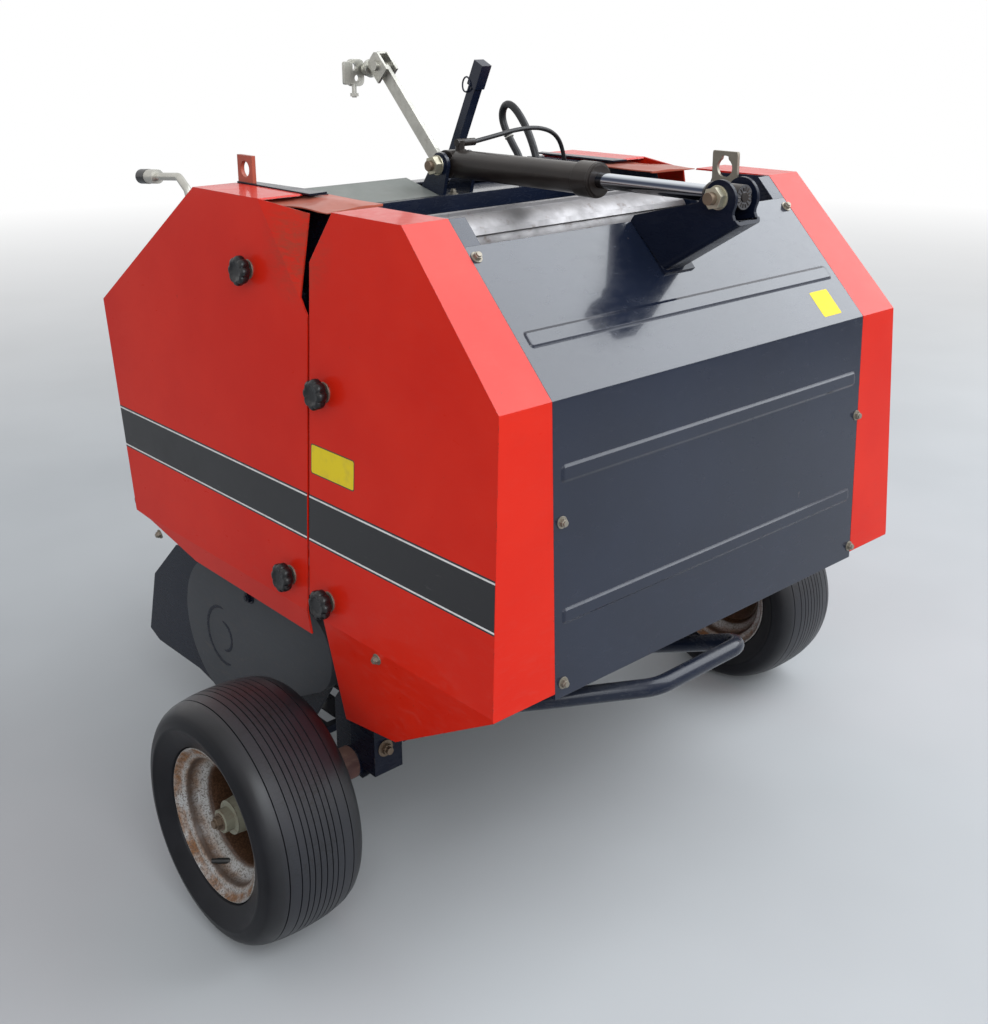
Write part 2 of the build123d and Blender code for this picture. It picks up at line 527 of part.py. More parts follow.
# Tined reel
reel = rod_y(REEL_X, REEL_Z, 25, -PICKUP_HALF + 12, PICKUP_HALF - 12)
reel += rod_y(REEL_X, REEL_Z, 14, -PICKUP_HALF - 10, PICKUP_HALF + 10)
TINE_BAR_R = 95.0
for k in range(4):
    a = 90 * k + 20
    x = TINE_BAR_R * math.cos(math.radians(a))
    z = TINE_BAR_R * math.sin(math.radians(a))
    reel += rod_y(REEL_X + x, REEL_Z + z, 9, -PICKUP_HALF + 12, PICKUP_HALF - 12)
    for y in (-PICKUP_HALF + 16, 0, PICKUP_HALF - 22):
        arm_bar = block((0, TINE_BAR_R), (y, y + 6), (-10, 10))
        reel += Pos(REEL_X, 0, REEL_Z) * Rot(0, -a, 0) * arm_bar
    for j in range(band_count + 1):
        y = -PICKUP_HALF + 4 + band_pitch * (j + 0.5)
        if abs(y) < PICKUP_HALF - 14:
            tine = block((TINE_BAR_R, TINE_TIP_R), (y - 3, y + 3), (-3, 3))
            reel += Pos(REEL_X, 0, REEL_Z) * Rot(0, -a, 0) * tine
parts["pickup_reel"] = reel

# Hitch: cross beam, arms with the lower link pins, mast with the top pin
hitch_beam = block((645, 705), (-HITCH_HALF, HITCH_HALF), HITCH_Z)
hitch_beam -= block((649, 701), (-HITCH_HALF - 1, HITCH_HALF + 1), (HITCH_Z[0] + 4, HITCH_Z[1] - 4))
for x in (STAND_X - 24.5, STAND_X + 18.5):
    hitch_beam += block((x, x + 6), (STAND_Y - 22, STAND_Y + 22), (STAND_PIVOT_Z - 20, HITCH_Z[0] + 1))
hitch_beam += rod_between((STAND_X - 30, STAND_Y, STAND_PIVOT_Z), (STAND_X + 30, STAND_Y, STAND_PIVOT_Z), 8)
parts["hitch_beam"] = hitch_beam
hitch_arm = slab([(500, 540), (500, 640), (580, 640), (644.8, 530), (644.8, 450), (565, 515)], SIDE_IN - 8, SIDE_IN)
both_sides("hitch_arms", hitch_arm)
link_outline = [(644.8, 430), (665, 449.8), (725, 449.8), (HITCH_TIP_X, 430), (HITCH_TIP_X - 8, 400), (705, 395),
                (660, 410)]
link_plate = slab(link_outline, LINK_HALF - 12, LINK_HALF)
link_plate += rod_y(LINK_PIN_X, LINK_PIN_Z, LINK_PIN_R, LINK_HALF, LINK_HALF + LINK_PIN_LENGTH)
both_sides("link_pins", link_plate)
mast_foot = HITCH_Z[1] + 0.2
mast_leg = [(150, mast_foot), (163, mast_foot), (38, 880), (38, 912), (26, 912), (26, 878)]
mast = strip_x(mast_leg, 662, 712)
mast += slab([(667, 866), (667, 894), (372.2, 1000), (372.2, 972)], 26, 36)
mast += mirrored(mast)
mast += rod_y(TOP_PIN_X, TOP_PIN_Z, TOP_PIN_R, -44, 44)
parts["hitch_mast"] = mast

# Gearbox, input shaft, cross shaft
gearbox = block((400, 520), (-70, 70), (540, 660))
gearbox += rod_between((520, 0, INPUT_Z), (552, 0, INPUT_Z), 42)
gearbox += rod_y(460, INPUT_Z, 42, -100, 100)
gearbox += block((372.3, 400), (-60, 60), (560, 640))
gearbox -= rod_between((500, 0, INPUT_Z), (553, 0, INPUT_Z), 14 + RUNNING_FIT)
gearbox -= rod_y(460, INPUT_Z, 14 + RUNNING_FIT, -101, 101)
parts["gearbox"] = gearbox
input_shaft = rod_between((505, 0, INPUT_Z), (562, 0, INPUT_Z), 14)
parts["input_shaft"] = input_shaft + rod_between((560, 0, INPUT_Z), (640, 0, INPUT_Z), INPUT_R)
parts["cross_shaft"] = rod_y(460, INPUT_Z, 14, -60, SPROCKET_Y + 14) + rod_y(
    460, INPUT_Z, 40, SPROCKET_Y, SPROCKET_Y + 8)
parts["side_plates"] -= rod_y(460, INPUT_Z, 14 + RUNNING_FIT, SIDE_IN - 1, SIDE_OUT + 1)

# Twine box in front of the panel
twine = block((372.2, 600), (-200, 200), (700, 860)) - block((375, 597), (-197, 197), (703, 861))
parts["twine_box"] = twine

# Parking stand under the hitch beam, swings up sideways
stand_leg = (STAND_Y - 18, STAND_Y + 18)
stand = block((STAND_X - 18, STAND_X + 18), stand_leg, (6, STAND_PIVOT_Z + 18))
stand -= block((STAND_X - 15, STAND_X + 15), (STAND_Y - 15, STAND_Y + 15), (8, STAND_PIVOT_Z + 19))
stand += block((STAND_X - 45, STAND_X + 45), (STAND_Y - 40, STAND_Y + 40), (0, 6))
stand -= rod_between((STAND_X - 60, STAND_Y, STAND_PIVOT_Z), (STAND_X + 60, STAND_Y, STAND_PIVOT_Z),
                     8 + RUNNING_FIT)
parts["parking_stand"] = stand

# Stay arm with its clevis, clamp disc and two-hole plate
STAY_Y = -40.0
stay = block((288, 299.5), (STAY_Y - 6, STAY_Y + 8), (1040, 1092))
low = (303, STAY_Y - 10, 1078)
high = (455, STAY_Y - 10, 1233)
stay_angle = math.degrees(math.atan2(high[2] - low[2], high[0] - low[0]))
stay_length = math.hypot(high[0] - low[0], high[2] - low[2])
stay += Pos(*low) * Rot(0, -stay_angle, 0) * (Pos(stay_length / 2, 0, 0) * Box(stay_length + 24, 8, 26))
stay += rod_y(low[0], low[2], 5, STAY_Y - 22, STAY_Y + 8) + rod_y(low[0], low[2], 9, STAY_Y - 20, STAY_Y - 14)
stay += rod_y(high[0] + 2, high[2] + 2, 5, STAY_Y - 29, STAY_Y + 5)
for y in (STAY_Y - 22, STAY_Y - 2):
    stay += Pos(*high) * Rot(0, -stay_angle, 0) * (Pos(22, y - high[1], 0) * Box(48, 5, 40))
stay += Pos(*high) * Rot(0, -stay_angle, 0) * (Pos(44, 0, 0) * Box(5, 25, 40))
stay += rod_y(high[0] + 22, high[2] + 20, 6, STAY_Y - 28, STAY_Y + 10)
stay += rod_between((high[0] + 22, STAY_Y - 10, high[2] + 16), (high[0] + 52, STAY_Y - 10, high[2] + 8), 7)
stay += rod_between((high[0] + 46, STAY_Y - 10, high[2] + 10), (high[0] + 54, STAY_Y - 10, high[2] + 8), 17)
stay += rod_between((high[0] + 50, STAY_Y - 10, high[2] + 9), (high[0] + 74, STAY_Y - 10, high[2] + 5), 7)
two_hole = block((high[0] + 71, high[0] + 78), (STAY_Y - 16, STAY_Y + 43), (high[2] - 21, high[2] + 25))
for y, z in ((STAY_Y + 14, high[2] + 14), (STAY_Y + 30, high[2] - 4)):
    two_hole -= rod_between((high[0] + 70, y, z), (high[0] + 79, y, z), 7)
stay += two_hole
parts["stay_arm"] = stay

# Hand lever: square bar with a wider top
LEVER_Y = -100.0
lever_low = (340, LEVER_Y, 1058)
lever_high = (245, LEVER_Y, 1252)
lever_angle = math.degrees(math.atan2(lever_high[2] - lever_low[2], lever_high[0] - lever_low[0]))
lever_length = math.hypot(lever_high[0] - lever_low[0], lever_high[2] - lever_low[2])
lever = Pos(*lever_low) * Rot(0, -lever_angle, 0) * (Pos(lever_length / 2, 0, 0) * Box(lever_length, 18, 18))
lever += Pos(*lever_high) * Rot(0, -lever_angle, 0) * (Pos(-18, 0, 0) * Box(46, 22, 24))
lever += block((312, 333), (LEVER_Y - 16, LEVER_Y + 16), (1052.3, 1082))
parts["hand_lever"] = lever

# Crank handle on the left, bent from round bar, with its grip
CRANK_Y = 330.0
crank_path = FilletPolyline((505, CRANK_Y, 900), (542, CRANK_Y, 1045), (572, CRANK_Y, 1066), (660, CRANK_Y, 1059),
                            radius=16)
crank = sweep(Plane(crank_path @ 0, z_dir=crank_path % 0) * Circle(7), path=crank_path)
crank += rod_between((652, CRANK_Y, 1059.6), (712, CRANK_Y, 1055), 13)
crank += rod_y(505, 900, 15, CRANK_Y - 9, SIDE_IN)
parts["crank_handle"] = crank

# Hydraulic hoses on the top beam
HOSE_R = 7.0
THIN_HOSE_R = 4.0
hose_points = [(281, -235, 1047), (289, -234, 1078), (310, -231, 1106), (330, -228, 1138), (331, -225, 1162),
               (316, -222, 1179), (292, -219, 1175), (262, -217, 1148), (238, -215, 1114), (224, -215, 1080),
               (220, -215, 1047)]


def corner_radii(points):
    """Bend radii that leave room on the shorter run beside each corner."""
    radii = []
    for i in range(1, len(points) - 1):
        before = Vector(*points[i]) - Vector(*points[i - 1])
        after = Vector(*points[i + 1]) - Vector(*points[i])
        half_turn = math.radians(before.get_angle(after)) / 2
        radii.append(0.45 * min(before.length, after.length) / math.tan(half_turn))
    return radii


def hose(points, radius):
    """A round hose along straight runs with bends."""
    radii = corner_radii(points)
    print("hose radii", [round(r) for r in radii], "of", 2 * radius, "mm hose")
    path = FilletPolyline(*points, radius=radii)
    return sweep(Plane(path @ 0, z_dir=path % 0) * Circle(radius), path=path)


parts["thick_hose"] = hose(hose_points, HOSE_R)
thin_points = [(190, -BARREL_R - 9, CYLINDER_Z + 36), (190, -76, 1134), (188, -130, 1143), (188, -186, 1144), (193, -234, 1129),
               (203, -264, 1093), (206, -275, 1047)]
parts["thin_hose"] = hose(thin_points, THIN_HOSE_R)
for x, y, r in ((281, -235, 11), (220, -215, 11), (206, -275, 8)):
    parts["top_frame"] += rod_between((x, y, 1039), (x, y, 1046), r)

# Write every node, moved to the machine's origin
os.makedirs("parts", exist_ok=True)
for name, shape in parts.items():
    export_step(Pos(-ORIGIN_X, 0, 0) * shape, "parts/" + name + ".step")
print(len(parts), "nodes, origin", ORIGIN_X)
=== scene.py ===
import math

import bmesh
import bpy
from mathutils import Matrix, Vector


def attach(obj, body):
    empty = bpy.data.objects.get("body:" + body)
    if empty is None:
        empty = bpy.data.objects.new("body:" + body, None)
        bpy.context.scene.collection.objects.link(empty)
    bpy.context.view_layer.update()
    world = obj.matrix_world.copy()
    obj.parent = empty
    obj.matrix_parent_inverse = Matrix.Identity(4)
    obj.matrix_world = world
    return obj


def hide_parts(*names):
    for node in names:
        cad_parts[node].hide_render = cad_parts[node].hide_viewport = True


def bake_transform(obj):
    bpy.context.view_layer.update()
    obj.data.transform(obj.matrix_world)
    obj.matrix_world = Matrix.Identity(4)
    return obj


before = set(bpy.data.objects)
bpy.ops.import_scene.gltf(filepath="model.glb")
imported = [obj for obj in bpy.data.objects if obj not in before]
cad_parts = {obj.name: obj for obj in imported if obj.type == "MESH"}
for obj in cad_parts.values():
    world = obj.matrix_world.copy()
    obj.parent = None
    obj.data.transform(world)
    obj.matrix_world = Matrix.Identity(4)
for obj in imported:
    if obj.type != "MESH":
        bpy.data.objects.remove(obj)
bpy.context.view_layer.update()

# Camera: stands off the rear left corner at eye height and looks down on the machine.
# Its place and lens give the photograph's view of the covers, wheels and tailgate.
EYE = (-1.61605, 1.4033, 1.3215)
LOOK_RIGHT = Vector((-0.6633, -0.7484, -0.0063))
LOOK_DOWN = Vector((-0.2109, 0.1950, -0.9579))
LOOK_AHEAD = Vector((0.7181, -0.6340, -0.2871))
IMAGE_WIDE = 988
IMAGE_TALL = 1024
FOCUS_PIXELS = 1248.0
CENTRE_PIXELS = (483.97, 398.14)


def put(name, data):
    """A new object in the scene, at the origin."""
    obj = bpy.data.objects.new(name, data)
    bpy.context.scene.collection.objects.link(obj)
    return obj


camera_data = bpy.data.cameras.new("camera")
camera_data.lens = FOCUS_PIXELS / IMAGE_TALL * camera_data.sensor_width
camera_data.shift_x = (IMAGE_WIDE / 2 - CENTRE_PIXELS[0]) / IMAGE_TALL
camera_data.shift_y = (CENTRE_PIXELS[1] - IMAGE_TALL / 2) / IMAGE_TALL
camera = put("camera", camera_data)
turned = Matrix((LOOK_RIGHT, -LOOK_DOWN, -LOOK_AHEAD)).transposed().to_4x4()
camera.matrix_world = Matrix.Translation(EYE) @ turned
bpy.context.scene.camera = camera
bpy.context.scene.view_settings.view_transform = "Standard"

# Hydraulic hoses: black rubber over steel braid, pushed on fittings on the top beam.
# The thick one arches beside the cylinder, the thin one feeds the barrel.
AXLE_X = -0.15925
AXLE_Z = 0.19


def place(x, y, z):
    """A point in millimetres from the middle of the axle, as a place in the frame."""
    return Vector((x / 1000 + AXLE_X, y / 1000, z / 1000))


class Finish:
    """A procedural finish: colour, roughness and relief read in object coordinates, metres."""

    def __init__(self, name, roughness=0.5, metallic=0.0, **constants):
        self.material = bpy.data.materials.new(name)
        self.material.use_nodes = True
        self.nodes = self.material.node_tree.nodes
        self.links = self.material.node_tree.links
        self.surface = self.nodes["Principled BSDF"]
        self.surface.inputs["Roughness"].default_value = roughness
        self.surface.inputs["Metallic"].default_value = metallic
        for key, value in constants.items():
            self.surface.inputs[key.replace("_", " ")].default_value = value
        self.coordinates = self.nodes.new("ShaderNodeTexCoord").outputs["Object"]
        self.relief = None

    def stretched(self, scale):
        """Object coordinates stretched along each axis, for grain and streaks."""
        mapping = self.nodes.new("ShaderNodeMapping")
        mapping.inputs["Scale"].default_value = scale
        self.links.new(self.coordinates, mapping.inputs["Vector"])
        return mapping.outputs["Vector"]

    def noise(self, scale, detail=4.0, roughness=0.55, along=None, distortion=0.0):
        """Cloudy noise from 0 to 1; scale counts its waves in a metre."""
        node = self.nodes.new("ShaderNodeTexNoise")
        node.inputs["Scale"].default_value = scale
        node.inputs["Detail"].default_value = detail
        node.inputs["Roughness"].default_value = roughness
        node.inputs["Distortion"].default_value = distortion
        self.links.new(self.stretched(along) if along else self.coordinates, node.inputs["Vector"])
        return node.outputs["Fac"]

    def cracks(self, scale, along=(1, 1, 1)):
        """Distance to the nearest border of an irregular net of cells."""
        node = self.nodes.new("ShaderNodeTexVoronoi")
        node.feature = "DISTANCE_TO_EDGE"
        node.inputs["Scale"].default_value = scale
        self.links.new(self.stretched(along), node.inputs["Vector"])
        return node.outputs["Distance"]

    def axis(self, letter, of=None):
        """One coordinate of a point, in metres."""
        node = self.nodes.new("ShaderNodeSeparateXYZ")
        self.links.new(of or self.coordinates, node.inputs[0])
        return node.outputs[letter]

    def between(self, value, low, high, to_low=0.0, to_high=1.0):
        """The value carried from low..high to to_low..to_high, and held there outside it."""
        node = self.nodes.new("ShaderNodeMapRange")
        for key, number in (("From Min", low), ("From Max", high), ("To Min", to_low), ("To Max", to_high)):
            node.inputs[key].default_value = number
        self.links.new(value, node.inputs["Value"])
        return node.outputs["Result"]

    def math(self, kind, a, b=None):
        """One sum on numbers or sockets."""
        node = self.nodes.new("ShaderNodeMath")
        node.operation = kind
        for socket, value in zip(node.inputs, (a, b)):
            if isinstance(value, (int, float)):
                socket.default_value = value
            elif value is not None:
                self.links.new(value, socket)
        return node.outputs[0]

    def times(self, *values):
        """The product of several values."""
        total = values[0]
        for value in values[1:]:
            total = self.math("MULTIPLY", total, value)
        return total

    def from_axle(self):
        """Distance from the wheels' axis, in metres."""
        x = self.math("SUBTRACT", self.axis("X"), AXLE_X)
        z = self.math("SUBTRACT", self.axis("Z"), AXLE_Z)
        return self.math("SQRT", self.math("ADD", self.times(x, x), self.times(z, z)))

    def mix(self, share, a, b):
        """Colour a where share is 0, colour b where it is 1."""
        node = self.nodes.new("ShaderNodeMix")
        node.data_type = "RGBA"
        self.links.new(share, node.inputs[0])
        for socket, value in ((node.inputs[6], a), (node.inputs[7], b)):
            if isinstance(value, tuple):
                socket.default_value = (*value, 1.0)
            else:
                self.links.new(value, socket)
        return node.outputs[2]

    def edges(self, radius, sharp=0.985, blunt=0.86):
        """1 on bent and cut edges, 0 on the flat; the rounded normal becomes the relief."""
        rounded = self.nodes.new("ShaderNodeBevel")
        rounded.samples = 4
        rounded.inputs["Radius"].default_value = radius
        flat = self.nodes.new("ShaderNodeNewGeometry")
        cosine = self.nodes.new("ShaderNodeVectorMath")
        cosine.operation = "DOT_PRODUCT"
        self.links.new(rounded.outputs[0], cosine.inputs[0])
        self.links.new(flat.outputs["True Normal"], cosine.inputs[1])
        self.relief = self.relief or rounded.outputs[0]
        return self.between(cosine.outputs["Value"], sharp, blunt)

    def facing_up(self):
        """1 on faces that look upwards, where dust settles."""
        flat = self.nodes.new("ShaderNodeNewGeometry")
        return self.between(self.axis("Z", flat.outputs["True Normal"]), 0.35, 0.95)

    def sheen(self):
        """Share of the gloss by where a face looks: full to the sky, least to the horizon."""
        flat = self.nodes.new("ShaderNodeNewGeometry")
        tilt = self.axis("Z", flat.outputs["True Normal"])
        ground = self.between(tilt, 0.22, 0.06, 0.10, 0.36)
        return self.math("MAXIMUM", self.between(tilt, 0.42, 0.64), ground)

    def bump(self, height, depth, strength=1.0):
        """Adds relief of that depth in metres."""
        node = self.nodes.new("ShaderNodeBump")
        node.inputs["Distance"].default_value = depth
        node.inputs["Strength"].default_value = strength
        self.links.new(height, node.inputs["Height"])
        if self.relief:
            self.links.new(self.relief, node.inputs["Normal"])
        self.relief = node.outputs[0]

    def done(self, colour=None, roughness=None, metallic=None):
        """Joins what was mixed to the shader and gives the material."""
        for key, value in (("Base Color", colour), ("Roughness", roughness), ("Metallic", metallic)):
            if value is not None:
                self.links.new(value, self.surface.inputs[key])
        if self.relief:
            self.links.new(self.relief, self.surface.inputs["Normal"])
        return self.material


def dusty_rubber(name, colour, dust, roughness=0.62, share=0.3):
    """Moulded rubber that has greyed a little, with dust in its pores."""
    rubber = Finish(name, roughness, Specular_IOR_Level=0.4)
    cloud = rubber.noise(22, 5)
    tint = rubber.mix(rubber.between(cloud, 0.45, 0.75, 0.0, share), colour, dust)
    rubber.bump(rubber.noise(900, 2), 0.0003, 0.4)
    return rubber.done(tint, rubber.between(cloud, 0.3, 0.7, roughness + 0.08, roughness - 0.10))


def hose_curve(name, route, diameter):
    """A smooth line through a hose's route, as a curve with a round section."""
    data = bpy.data.curves.new(name, "CURVE")
    data.dimensions = "3D"
    spline = data.splines.new("NURBS")
    spline.points.add(len(route) - 1)
    for point, (x, y, z) in zip(spline.points, route):
        point.co = (*place(x, y, z), 1.0)
    spline.order_u = 3
    spline.use_endpoint_u = True
    spline.resolution_u = 12
    data.bevel_depth = diameter / 2
    data.bevel_resolution = 5
    data.use_fill_caps = True
    return put(name, data)


hose_rubber = dusty_rubber("hose_rubber", (0.012, 0.012, 0.014), (0.05, 0.05, 0.05), 0.42)
THICK_HOSE = ((281, -235, 1047), (289, -234, 1078), (310, -231, 1106), (330, -228, 1138), (331, -225, 1162),
              (316, -222, 1179), (292, -219, 1175), (262, -217, 1148), (238, -215, 1114), (224, -215, 1080),
              (220, -215, 1047))
THICK_HOSE_D = 0.014
thick_hose = hose_curve("thick_hose_cover", THICK_HOSE, THICK_HOSE_D)
thick_hose.data.materials.append(hose_rubber)
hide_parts("thick_hose")
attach(thick_hose, "frame")

THIN_HOSE = ((190, -33, 1128), (190, -76, 1134), (188, -130, 1143), (188, -186, 1144), (193, -234, 1129),
             (203, -264, 1093), (206, -275, 1047))
THIN_HOSE_D = 0.008
thin_line = hose_curve("thin_hose_line", THIN_HOSE, THIN_HOSE_D)
tube_mesh = bpy.data.meshes.new_from_object(thin_line)
# the same line without its thickness, as a mesh of its own
thin_line.data.bevel_depth = 0.0
line_mesh = bpy.data.meshes.new_from_object(thin_line)
bpy.data.objects.remove(thin_line)
thin_hose = put("thin_hose_cover", tube_mesh)
thin_hose.data.materials.append(hose_rubber)
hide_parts("thin_hose")
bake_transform(thin_hose)

# Studio: pale concrete floor that turns white in the distance, even light from all round,
# a large soft lamp high on the far side and a weaker one behind the camera.
FLOOR_HALF = 14.0
# distances in metres at which the floor starts to turn white and is wholly white
FLOOR_WHITE = (1.9, 8.0)
LAMP_COLOUR = (0.90, 0.95, 1.0)
concrete = Finish("floor", 0.75)
cloud = concrete.between(concrete.noise(1.3, 3), 0.35, 0.65)
x, y = concrete.axis("X"), concrete.axis("Y")
far = concrete.math("SQRT", concrete.math("ADD", concrete.times(x, x), concrete.times(y, y)))
concrete.done(concrete.mix(cloud, (0.47, 0.475, 0.48), (0.51, 0.515, 0.52)))
bright = concrete.nodes.new("ShaderNodeEmission")
blend = concrete.nodes.new("ShaderNodeMixShader")
seen = concrete.nodes.new("ShaderNodeLightPath").outputs["Is Camera Ray"]
concrete.links.new(concrete.times(seen, concrete.between(far, *FLOOR_WHITE)), blend.inputs[0])
concrete.links.new(concrete.surface.outputs[0], blend.inputs[1])
concrete.links.new(bright.outputs[0], blend.inputs[2])
concrete.links.new(blend.outputs[0], concrete.nodes["Material Output"].inputs[0])
mesh = bpy.data.meshes.new("floor")
corners = [(a * FLOOR_HALF, b * FLOOR_HALF, 0) for a, b in ((-1, -1), (1, -1), (1, 1), (-1, 1))]
mesh.from_pydata(corners, [], [(0, 1, 2, 3)])
mesh.materials.append(concrete.material)
put("floor", mesh)

world = bpy.data.worlds.new("studio")
bpy.context.scene.world = world
world.use_nodes = True
nodes, links = world.node_tree.nodes, world.node_tree.links
nodes.clear()
soft_light = nodes.new("ShaderNodeBackground")
soft_light.inputs["Color"].default_value = (*LAMP_COLOUR, 1.0)
soft_light.inputs["Strength"].default_value = 0.62
white = nodes.new("ShaderNodeBackground")
white.inputs["Color"].default_value = (1.0, 1.0, 1.0, 1.0)
white.inputs["Strength"].default_value = 1.0
rays = nodes.new("ShaderNodeLightPath")
seen = rays.outputs["Is Camera Ray"]
for kind in ("Is Glossy Ray", "Is Transmission Ray"):
    either = nodes.new("ShaderNodeMath")
    either.operation = "MAXIMUM"
    links.new(seen, either.inputs[0])
    links.new(rays.outputs[kind], either.inputs[1])
    seen = either.outputs[0]
choice = nodes.new("ShaderNodeMixShader")
links.new(seen, choice.inputs[0])
links.new(soft_light.outputs[0], choice.inputs[1])
links.new(white.outputs[0], choice.inputs[2])
links.new(choice.outputs[0], nodes.new("ShaderNodeOutputWorld").inputs[0])

LAMP_AIM = Vector((0, 0, 0.5))
# name, place in metres, size in metres, power in watts
LAMPS = (("sky_lamp", (-2.0, -2.9, 3.5), 4.0, 190), ("fill_lamp", (-3.0, 1.8, 2.6), 2.6, 75))
for name, at, size, power in LAMPS:
    lamp_data = bpy.data.lights.new(name, "AREA")
    lamp_data.size = size
    lamp_data.energy = power
    lamp_data.color = LAMP_COLOUR
    lamp = put(name, lamp_data)
    lamp.location = at
    lamp.rotation_euler = (LAMP_AIM - Vector(at)).to_track_quat("-Z", "Y").to_euler()

# Red covers: two folded shells on each side, bent from 3 mm steel sheet and sprayed red; dust
# lies low down, and the paint is worn through at the corners. The lifting eyes' red has faded.
def enamel(name, colour, faded, chip, coat, roughness=0.32, specular=0.5, dust=(0.30, 0.26, 0.22),
           dust_share=0.35, wear=0.55, shade_and_grime_at=None):
    """Sprayed enamel with faded patches, settled dust, scratches, pits and worn edges.

    A darker brown patch about a place in X and Z, in metres, is painted shade broken up like grime.
    """
    paint = Finish(name, roughness, Coat_Roughness=0.07, Specular_IOR_Level=specular)
    paint.links.new(paint.times(paint.sheen(), coat), paint.surface.inputs["Coat Weight"])
    edge = paint.edges(0.0016)
    patches = paint.noise(5.5, 3)
    tint = paint.mix(paint.between(patches, 0.35, 0.68), colour, faded)
    scratches = paint.noise(34, 8, 0.72, along=(1.0, 1.0, 3.2), distortion=0.6)
    low = paint.between(paint.axis("Z"), 0.62, 0.15)
    settled = paint.times(paint.between(scratches, 0.50, 0.78), paint.math("ADD", low, 0.15))
    on_top = paint.times(paint.facing_up(), paint.between(patches, 0.3, 0.75), 0.7)
    settled = paint.math("ADD", settled, on_top)
    settled = paint.times(paint.math("MINIMUM", settled, 1.0), dust_share)
    tint = paint.mix(settled, tint, dust)
    worn = paint.times(edge, paint.between(paint.noise(60, 6, 0.7), 0.53, 0.60), wear)
    pits = paint.times(paint.between(paint.noise(210, 3), 0.735, 0.765),
                       paint.math("ADD", paint.times(low, 0.8), 0.15))
    nicks = paint.between(paint.noise(46, 7, 0.75, along=(1.0, 1.0, 0.45)), 0.695, 0.715, 0.0, wear)
    tint = paint.mix(paint.math("MAXIMUM", paint.math("MAXIMUM", worn, pits), nicks), tint, chip)
    # painted shade: a darker brown patch about the given place, broken up like grime
    if shade_and_grime_at:
        x, z = (paint.math("SUBTRACT", paint.axis(a), c) for a, c in zip("XZ", shade_and_grime_at))
        near = paint.math("SQRT", paint.math("ADD", paint.times(x, x), paint.times(z, z)))
        shade_and_grime = paint.times(paint.between(near, 0.095, 0.03), paint.between(scratches, 0.36, 0.62))
        tint = paint.mix(paint.times(shade_and_grime, 0.6), tint, (0.26, 0.055, 0.030))
    paint.bump(paint.noise(420, 2), 0.00035, 0.10)
    paint.bump(paint.noise(7, 2), 0.004, 0.12)
    gloss = paint.math("ADD", paint.between(scratches, 0.3, 0.8, roughness - 0.06, roughness + 0.14),
                       paint.times(settled, 0.5))
    return paint.done(tint, gloss)


def coat_node(node, material):
    """Gives a CAD node its finish."""
    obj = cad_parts[node]
    obj.data.materials.clear()
    obj.data.materials.append(material)


# the darker brown patch by the split is painted shade in the front cover's bent-in recess, with some grime
red_enamel = enamel("red_enamel", (0.62, 0.015, 0.005), (0.68, 0.022, 0.008), (0.045, 0.022, 0.016),
                    coat=0.42, specular=0.08, dust_share=0.16, wear=0.8, shade_and_grime_at=place(48, 0, 1020).xz)
for node in ("front_covers", "gate_covers"):
    coat_node(node, red_enamel)
faded_enamel = enamel("faded_enamel", (0.47, 0.10, 0.055), (0.36, 0.075, 0.045), (0.12, 0.08, 0.06),
                      coat=0.2, roughness=0.45, specular=0.3, dust_share=0.5, wear=1.0)
coat_node("lifting_eyes", faded_enamel)

# Bridge plates: thin sheets that close the notch on top, trodden into waves, with a dark
# turned-down lip at the rear; the same red, faded and brown.
SIDES = (1, -1)
BRIDGE_T = 2.0
BRIDGE_LIP = 4.5
BRIDGE_LOWEST = 1066.2
BRIDGE_STEPS = (24, 10)
# widths of the plates' outer and inner edge
BRIDGE_Y = (404, 298)


def add_piece(name, mesh, material, body, smooth=None, stands_for=()):
    """A finished mesh as a piece that moves with a body; edges over smooth degrees stay sharp."""
    if not isinstance(mesh, bpy.types.Mesh):
        bm, mesh = mesh, bpy.data.meshes.new(name)
        bmesh.ops.recalc_face_normals(bm, faces=bm.faces)
        bm.to_mesh(mesh)
        bm.free()
    mesh.materials.clear()
    mesh.materials.append(material)
    if smooth is not None:
        mesh.shade_smooth()
        mesh.set_sharp_from_angle(angle=math.radians(smooth))
    piece = put(name, mesh)
    if stands_for:
        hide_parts(*stands_for)
    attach(piece, body)


def skin(bm, a, b, closed=True):
    """Faces between two rows of corners; a closed row runs on from its last to its first."""
    for i in range(len(a) if closed else len(a) - 1):
        j = (i + 1) % len(a)
        bm.faces.new((a[i], a[j], b[j], b[i]))


def bridge_top(x, y):
    """Height of a bridge plate's upper face."""
    near = (y - BRIDGE_Y[1]) / (BRIDGE_Y[0] - BRIDGE_Y[1])
    ridge = 2.6 * max(0.0, 1 - abs(y - 336) / 34)
    wave = 1.7 * near * math.cos((x - 70) / 21) + 0.8 * math.sin(x / 37 + y / 19)
    return 1070.3 + ridge + wave - 1.4 * near


bridge = bmesh.new()
for side in SIDES:
    upper, lower = [], []
    for i in range(BRIDGE_STEPS[0] + 1):
        u = i / BRIDGE_STEPS[0]
        rows = ([], [])
        for j in range(BRIDGE_STEPS[1] + 1):
            v = j / BRIDGE_STEPS[1]
            x = (178 + 10 * v) * (1 - u) + (7 + 9 * v) * u
            y = BRIDGE_Y[0] - (BRIDGE_Y[0] - BRIDGE_Y[1]) * v
            z = bridge_top(x, y)
            lip = BRIDGE_T + (BRIDGE_LIP * v if i == BRIDGE_STEPS[0] else 0)
            rows[0].append(bridge.verts.new(place(x, side * y, z)))
            rows[1].append(bridge.verts.new(place(x, side * y, max(z - lip, BRIDGE_LOWEST))))
        upper.append(rows[0])
        lower.append(rows[1])
    for rows in (upper, lower):
        for a, b in zip(rows, rows[1:]):
            skin(bridge, a, b, closed=False)
    for end in (0, -1):
        skin(bridge, upper[end], lower[end], closed=False)
    for end in (0, -1):
        skin(bridge, [row[end] for row in upper], [row[end] for row in lower], closed=False)
add_piece("bridge_sheets", bridge, faded_enamel, "frame", smooth=40,
          stands_for=("bridge_plates",))

